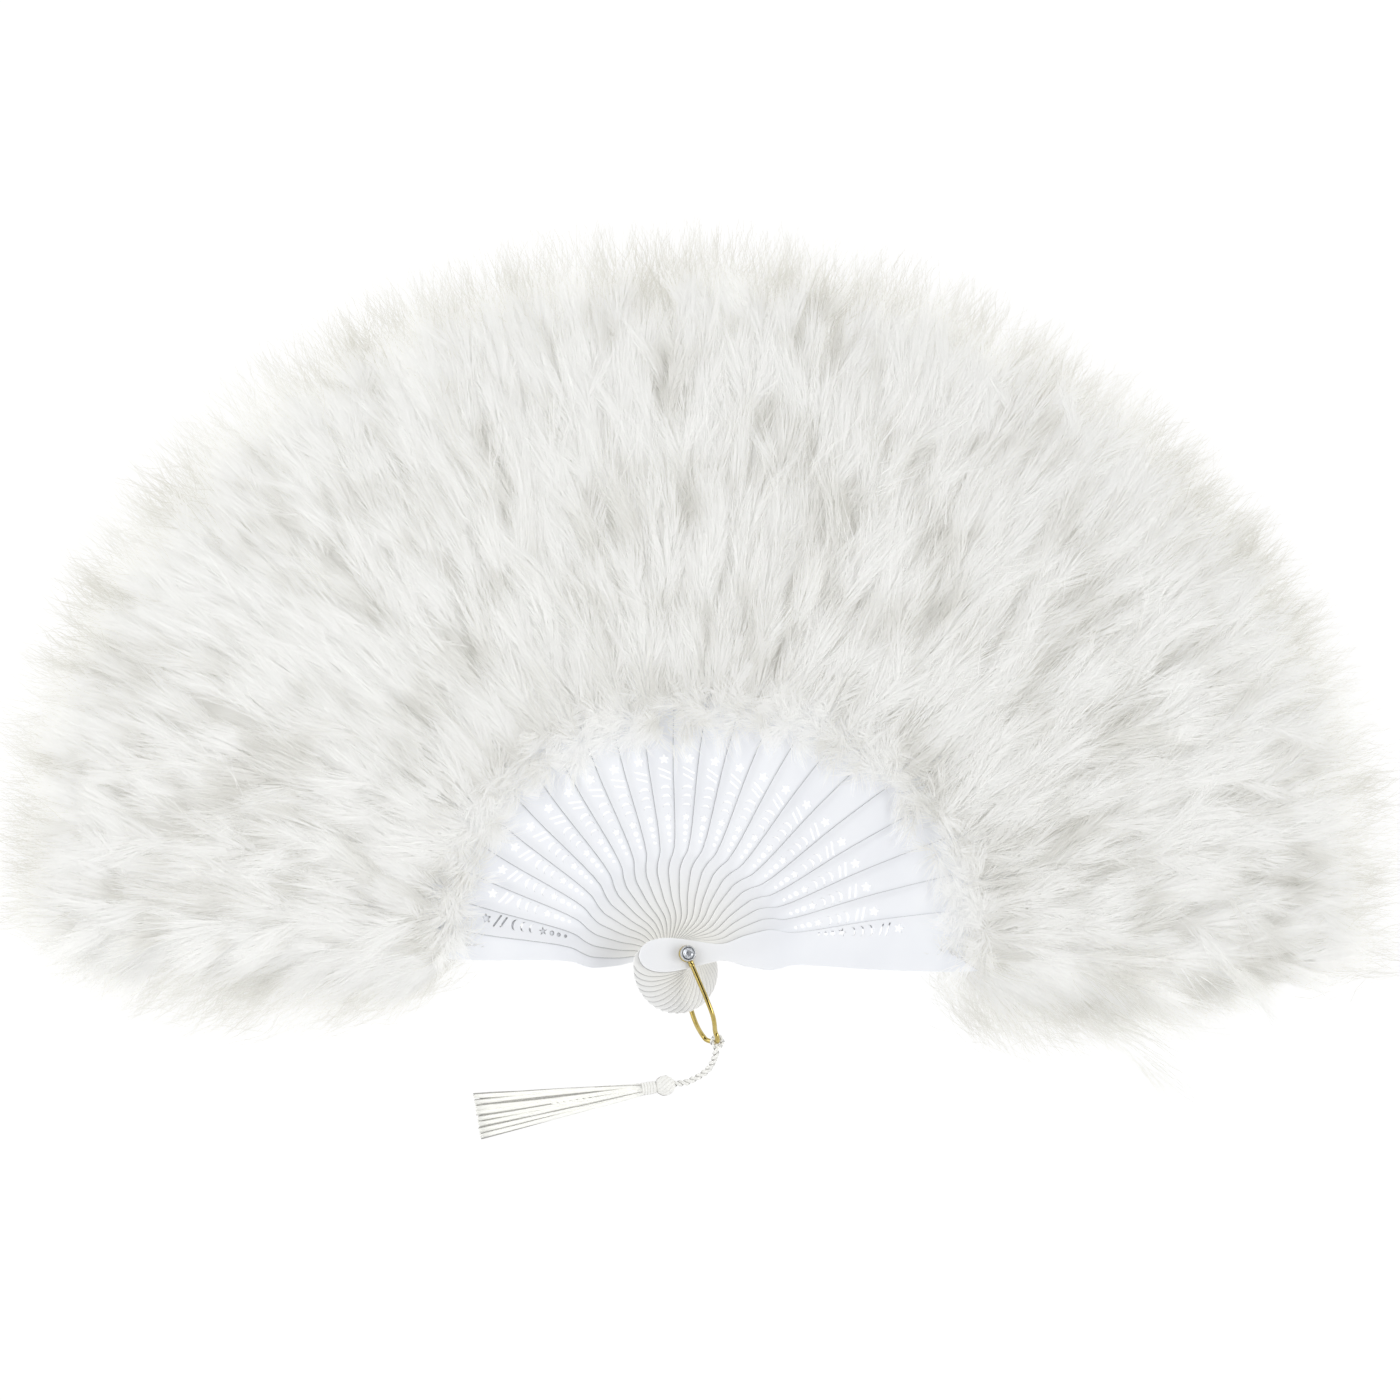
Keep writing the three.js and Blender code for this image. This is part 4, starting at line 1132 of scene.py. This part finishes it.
# %% The feathers of one plume
def plume_feathers(index, rng):
    """The rows, the short tufts where the down begins, wisps on top and loose barbs at the outer edge."""
    made = []
    start, squeeze = start_of(index), squeeze_of(index)
    reach, farthest = reach_of(index), farthest_of(index)
    for root_from, root_to, tip_from, tip_to, count, barbs, opening, barb_length, lift in ROWS:
        for k in range(count):
            x = start + rng.uniform(root_from, root_to) * squeeze
            y = x * math.tan(HALF_PITCH) * ((k + rng.uniform()) / count * 2.3 - 1.15)
            heading = math.atan2(y, x) + rng.normal(0, 0.13)
            tip = (start + rng.uniform(tip_from, tip_to) * squeeze) * (reach - ROW_SHORT)
            length = min(tip, farthest - 2 - 0.7 * barb_length) - x
            made.append(feather(rng, index, (x, y), heading, length, barbs, opening, barb_length, lift))
    for _ in range(FRINGE_TUFTS):
        x = start + rng.uniform(5, 22)
        y = x * math.tan(HALF_PITCH) * rng.uniform(-1.1, 1.1)
        heading = math.atan2(y, x) + rng.choice([-1, 1]) * rng.uniform(0.5, 2.9)
        size = {"length": rng.uniform(4, 10), "barbs": 26, "spread": 0.9, "barb_length": 12}
        made.append(feather(rng, index, (x, y), heading, lift=(0.25, 0.9), **size))
    for _ in range(WISPS):
        x = start + rng.uniform(10, 150)
        heading = rng.normal(0, 0.3)
        size = {"length": 40, "barbs": 12, "spread": 0.8, "barb_length": 36}
        made.append(feather(rng, index, (x, 0.0), heading, lift=(0.9, 1.25), **size))
    low, high = HAZE_FROM * reach, min((HAZE_FROM + HAZE_DEEP) * reach, farthest)
    tip = low + (high - low) * rng.uniform(0, 1, HAZE)
    turn = HALF_PITCH * rng.uniform(-1.15, 1.15, HAZE)
    heading = turn + rng.normal(0, 0.2, HAZE)
    lift = rng.uniform(-0.3, 0.8, HAZE)
    long = rng.uniform(20, 42, HAZE)
    made.append(loose_barbs(rng, index, tip * np.cos(turn), tip * np.sin(turn), heading, long, lift))
    return [np.vstack(parts) for parts in zip(*made)]


# %% The lobes that hang over the guards
def draped(index, lines, roll):
    """Lets the down of a lobe fall from the guard to the table at its outer edge."""
    way = outward(index)
    at, depth = LOBES[index]
    along = (lines[..., 0] - start_of(index)) / squeeze_of(index)
    deep = np.maximum(LOBE_THIN, np.interp(along, at, depth))
    fall = smoothstep(way * lines[..., 1] / deep, 0.15, 1)
    drop = lines[..., 2] - LOBE_EDGE
    lines[..., 2] -= drop * fall
    lean = np.arctan2(np.maximum(0, drop), 0.7 * deep) * np.minimum(1, 3 * fall)
    return lines, np.clip(roll - way * lean, -LOBE_ROLL, LOBE_ROLL)


def lobe_feathers(index, rng):
    """The feathers that hang over the outer edge of a guard."""
    made = []
    start, squeeze, way = start_of(index), squeeze_of(index), outward(index)
    at, depth = LOBES[index]
    for k in range(LOBE_FEATHERS):
        tip = rng.uniform(24, at[-1] - 4)
        deep = LOBE_SOFT * np.interp(tip, at, depth) * rng.uniform(0.05, 1) ** 0.5
        run = min(rng.uniform(30, 60), tip - 2)
        root = (start + (tip - run) * squeeze, way * 0.25 * deep)
        heading = way * math.atan2(0.75 * deep, run)
        length = 0.62 * math.hypot(0.75 * deep, run)
        lift = (0.0, 0.75) if k % 3 else (-0.1, -0.9)
        size = {"length": length, "barbs": 170, "spread": 0.5, "barb_length": 32}
        made.append(feather(rng, index, root, heading, lift=lift, **size))
    tip = rng.uniform(4, at[-1], LOBE_HAZE)
    deep = np.interp(tip, at, depth) * rng.uniform(0.4, 1.08, LOBE_HAZE)
    inner = np.clip(1 - tip / 70, 0, 1)
    heading = np.arctan2(0.75 * deep, 45) * (1 - inner) + 1.3 * inner
    heading = way * heading + rng.normal(0, 0.25, LOBE_HAZE)
    lift = rng.uniform(-0.6, 0.6, LOBE_HAZE)
    long = np.minimum(rng.uniform(20, 40, LOBE_HAZE), tip + 14)
    made.append(loose_barbs(rng, index, start + tip * squeeze, way * deep, heading, long, lift))
    lines, wide, tone, roll = [np.vstack(parts) for parts in zip(*made)]
    lines, roll = draped(index, lines, roll)
    # painted light: the down that hangs over a guard is made lighter, to lift the shade it lies in
    return lines, wide, np.clip(tone + LOBE_PAINTED_LIGHT, 0, 1), roll


print("lobes hang past the guards by up to", [max(depth) for _, depth in LOBES.values()], "mm")

# %% The soft core under the barbs
CORE_VOXEL, CORE_IN = 3.6, [3.0, 3.0, 4.5]
CORE_NEAR, CORE_FAR, CORE_ENDS = 34, 270, 0.35
LOBE_FROM, LOBE_TO, LOBE_CORE_WIDE, LOBE_CORE_DROP = 6, 52, 0.5, 0.7
# painted shade: the core is darker than the barbs, for the hollows where it shows between them
CORE_SHADE_TONE = 0.4


def plume_core(index):
    """The model's plume, remeshed, smoothed, pulled in, and lowered where it hangs past a guard."""
    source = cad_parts[PLUMES[index]]
    work = add_object("core_work", source.data.copy())
    remesh = work.modifiers.new("even", "REMESH")
    remesh.mode = "VOXEL"
    remesh.voxel_size = CORE_VOXEL * 0.001
    relax = work.modifiers.new("relax", "SMOOTH")
    relax.iterations = 8
    mesh = bpy.data.meshes.new_from_object(work.evaluated_get(bpy.context.evaluated_depsgraph_get()))
    quads = np.array([tuple(face.vertices) for face in mesh.polygons])
    points = read_points(mesh) * 1000 - read_points(mesh, "normal") * CORE_IN
    points = turn_about_rivet(points, -angle_of(index))
    x = points[:, 0]
    within = np.clip(x, start_of(index) + CORE_NEAR, CORE_FAR)
    points[:, 0] = within + CORE_ENDS * (x - within)
    if is_guard(index):
        way = outward(index)
        out = way * points[:, 1]
        within = np.minimum(out, LOBE_FROM)
        points[:, 1] = way * (within + LOBE_CORE_WIDE * (out - within))
        points[:, 2] *= 1 - LOBE_CORE_DROP * smoothstep(out, LOBE_FROM, LOBE_TO)
    points = turn_about_rivet(points, angle_of(index))
    points[:, 2] = np.maximum(points[:, 2], LOWEST)
    bpy.data.objects.remove(work)
    bpy.data.meshes.remove(mesh)
    return points, quads


# %% Build every plume
def add_down(name, index, feathers, core=None):
    lines, widths, tones, rolls = feathers
    points, quads = strips(lines, widths, rolls)
    points = turn_about_rivet(points, angle_of(index))
    tones = np.repeat(tones.ravel(), 2)
    if core:
        points, quads = np.vstack([core[0], points]), np.vstack([core[1], quads + len(core[0])])
        tones = np.concatenate([np.full(len(core[0]), CORE_SHADE_TONE), tones])
    piece = make_piece(name, points, quads, down, BODIES[index], [PLUMES[index]], "white_down", tone=tones)
    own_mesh(piece)
    return len(lines)


FIRST_SEED = 100
strand_count = 0
for index in range(STICKS):
    rng = np.random.default_rng(FIRST_SEED + index)
    strand_count += add_down(f"{PLUMES[index]}_down", index, plume_feathers(index, rng), plume_core(index))
    if is_guard(index):
        strand_count += add_down(f"{PLUMES[index]}_lobe", index, lobe_feathers(index, rng))
print("down:", strand_count, "barbs")

# %% [markdown]
# ## Table and light
#
# The photograph is a bright cut-out on white. A matt table that glows softly, a surround that is white at the
# sides and dark overhead, and one broad soft lamp from the right give the same even light. A small low lamp
# from the left opens the shade there. That leaves just enough direction to draw the edges of the sticks and
# the hollows in the down.

# %% The table
TABLE_HALF, TABLE_Z = 4, -0.0004
table_top, tree = new_finish("pale_table")
grain = put(tree, "ShaderNodeTexNoise", {"Scale": 3.0})
matt = put(tree, "ShaderNodeBsdfPrincipled", {
    "Base Color": two_tones(tree, grain.outputs["Fac"], "#5A5A5A", "#5E5E5E"),
    "Roughness": 0.9,
    "Emission Color": linear("#FFFFFF"),
    "Emission Strength": 0.93,
})
put(tree, "ShaderNodeOutputMaterial", {"Surface": matt.outputs["BSDF"]})
floor_mesh = bpy.data.meshes.new("table")
signs = ((-1, -1), (1, -1), (1, 1), (-1, 1))
floor_mesh.from_pydata([(TABLE_HALF * x, TABLE_HALF * y, TABLE_Z) for x, y in signs], [], [(0, 1, 2, 3)])
floor_mesh.materials.append(table_top)
table = add_object("table", floor_mesh)
print("table:", 2 * TABLE_HALF, "m wide")

# %% The surround and the lamps
LAMP_AIM = Vector((0, 0.12, 0))
scene = bpy.context.scene
scene.view_settings.view_transform = "Standard"
scene.world = bpy.data.worlds.new("white_surround")
scene.world.use_nodes = True
tree = scene.world.node_tree
high = put(tree, "ShaderNodeSeparateXYZ", {0: put(tree, "ShaderNodeTexCoord").outputs["Generated"]})
sky = two_tones(tree, high.outputs["Z"], "#FFFFFF", "#303030", 0.77, 0.86)
background = tree.nodes["Background"]
tree.links.new(sky, background.inputs["Color"])
background.inputs["Strength"].default_value = 0.9


def soft_lamp(name, place, size, power):
    data = bpy.data.lights.new(name, "AREA")
    data.size = size
    data.energy = power
    lamp = add_object(name, data)
    lamp.location = place
    lamp.rotation_mode = "QUATERNION"
    lamp.rotation_quaternion = (LAMP_AIM - Vector(place)).to_track_quat("-Z", "Y")
    print(name, "at", place)


soft_lamp("key_lamp", (3.3, -0.3, 3.15), 2.4, 66)
soft_lamp("fill_lamp", (-1.0, 0.3, 0.8), 1.2, 5.6)
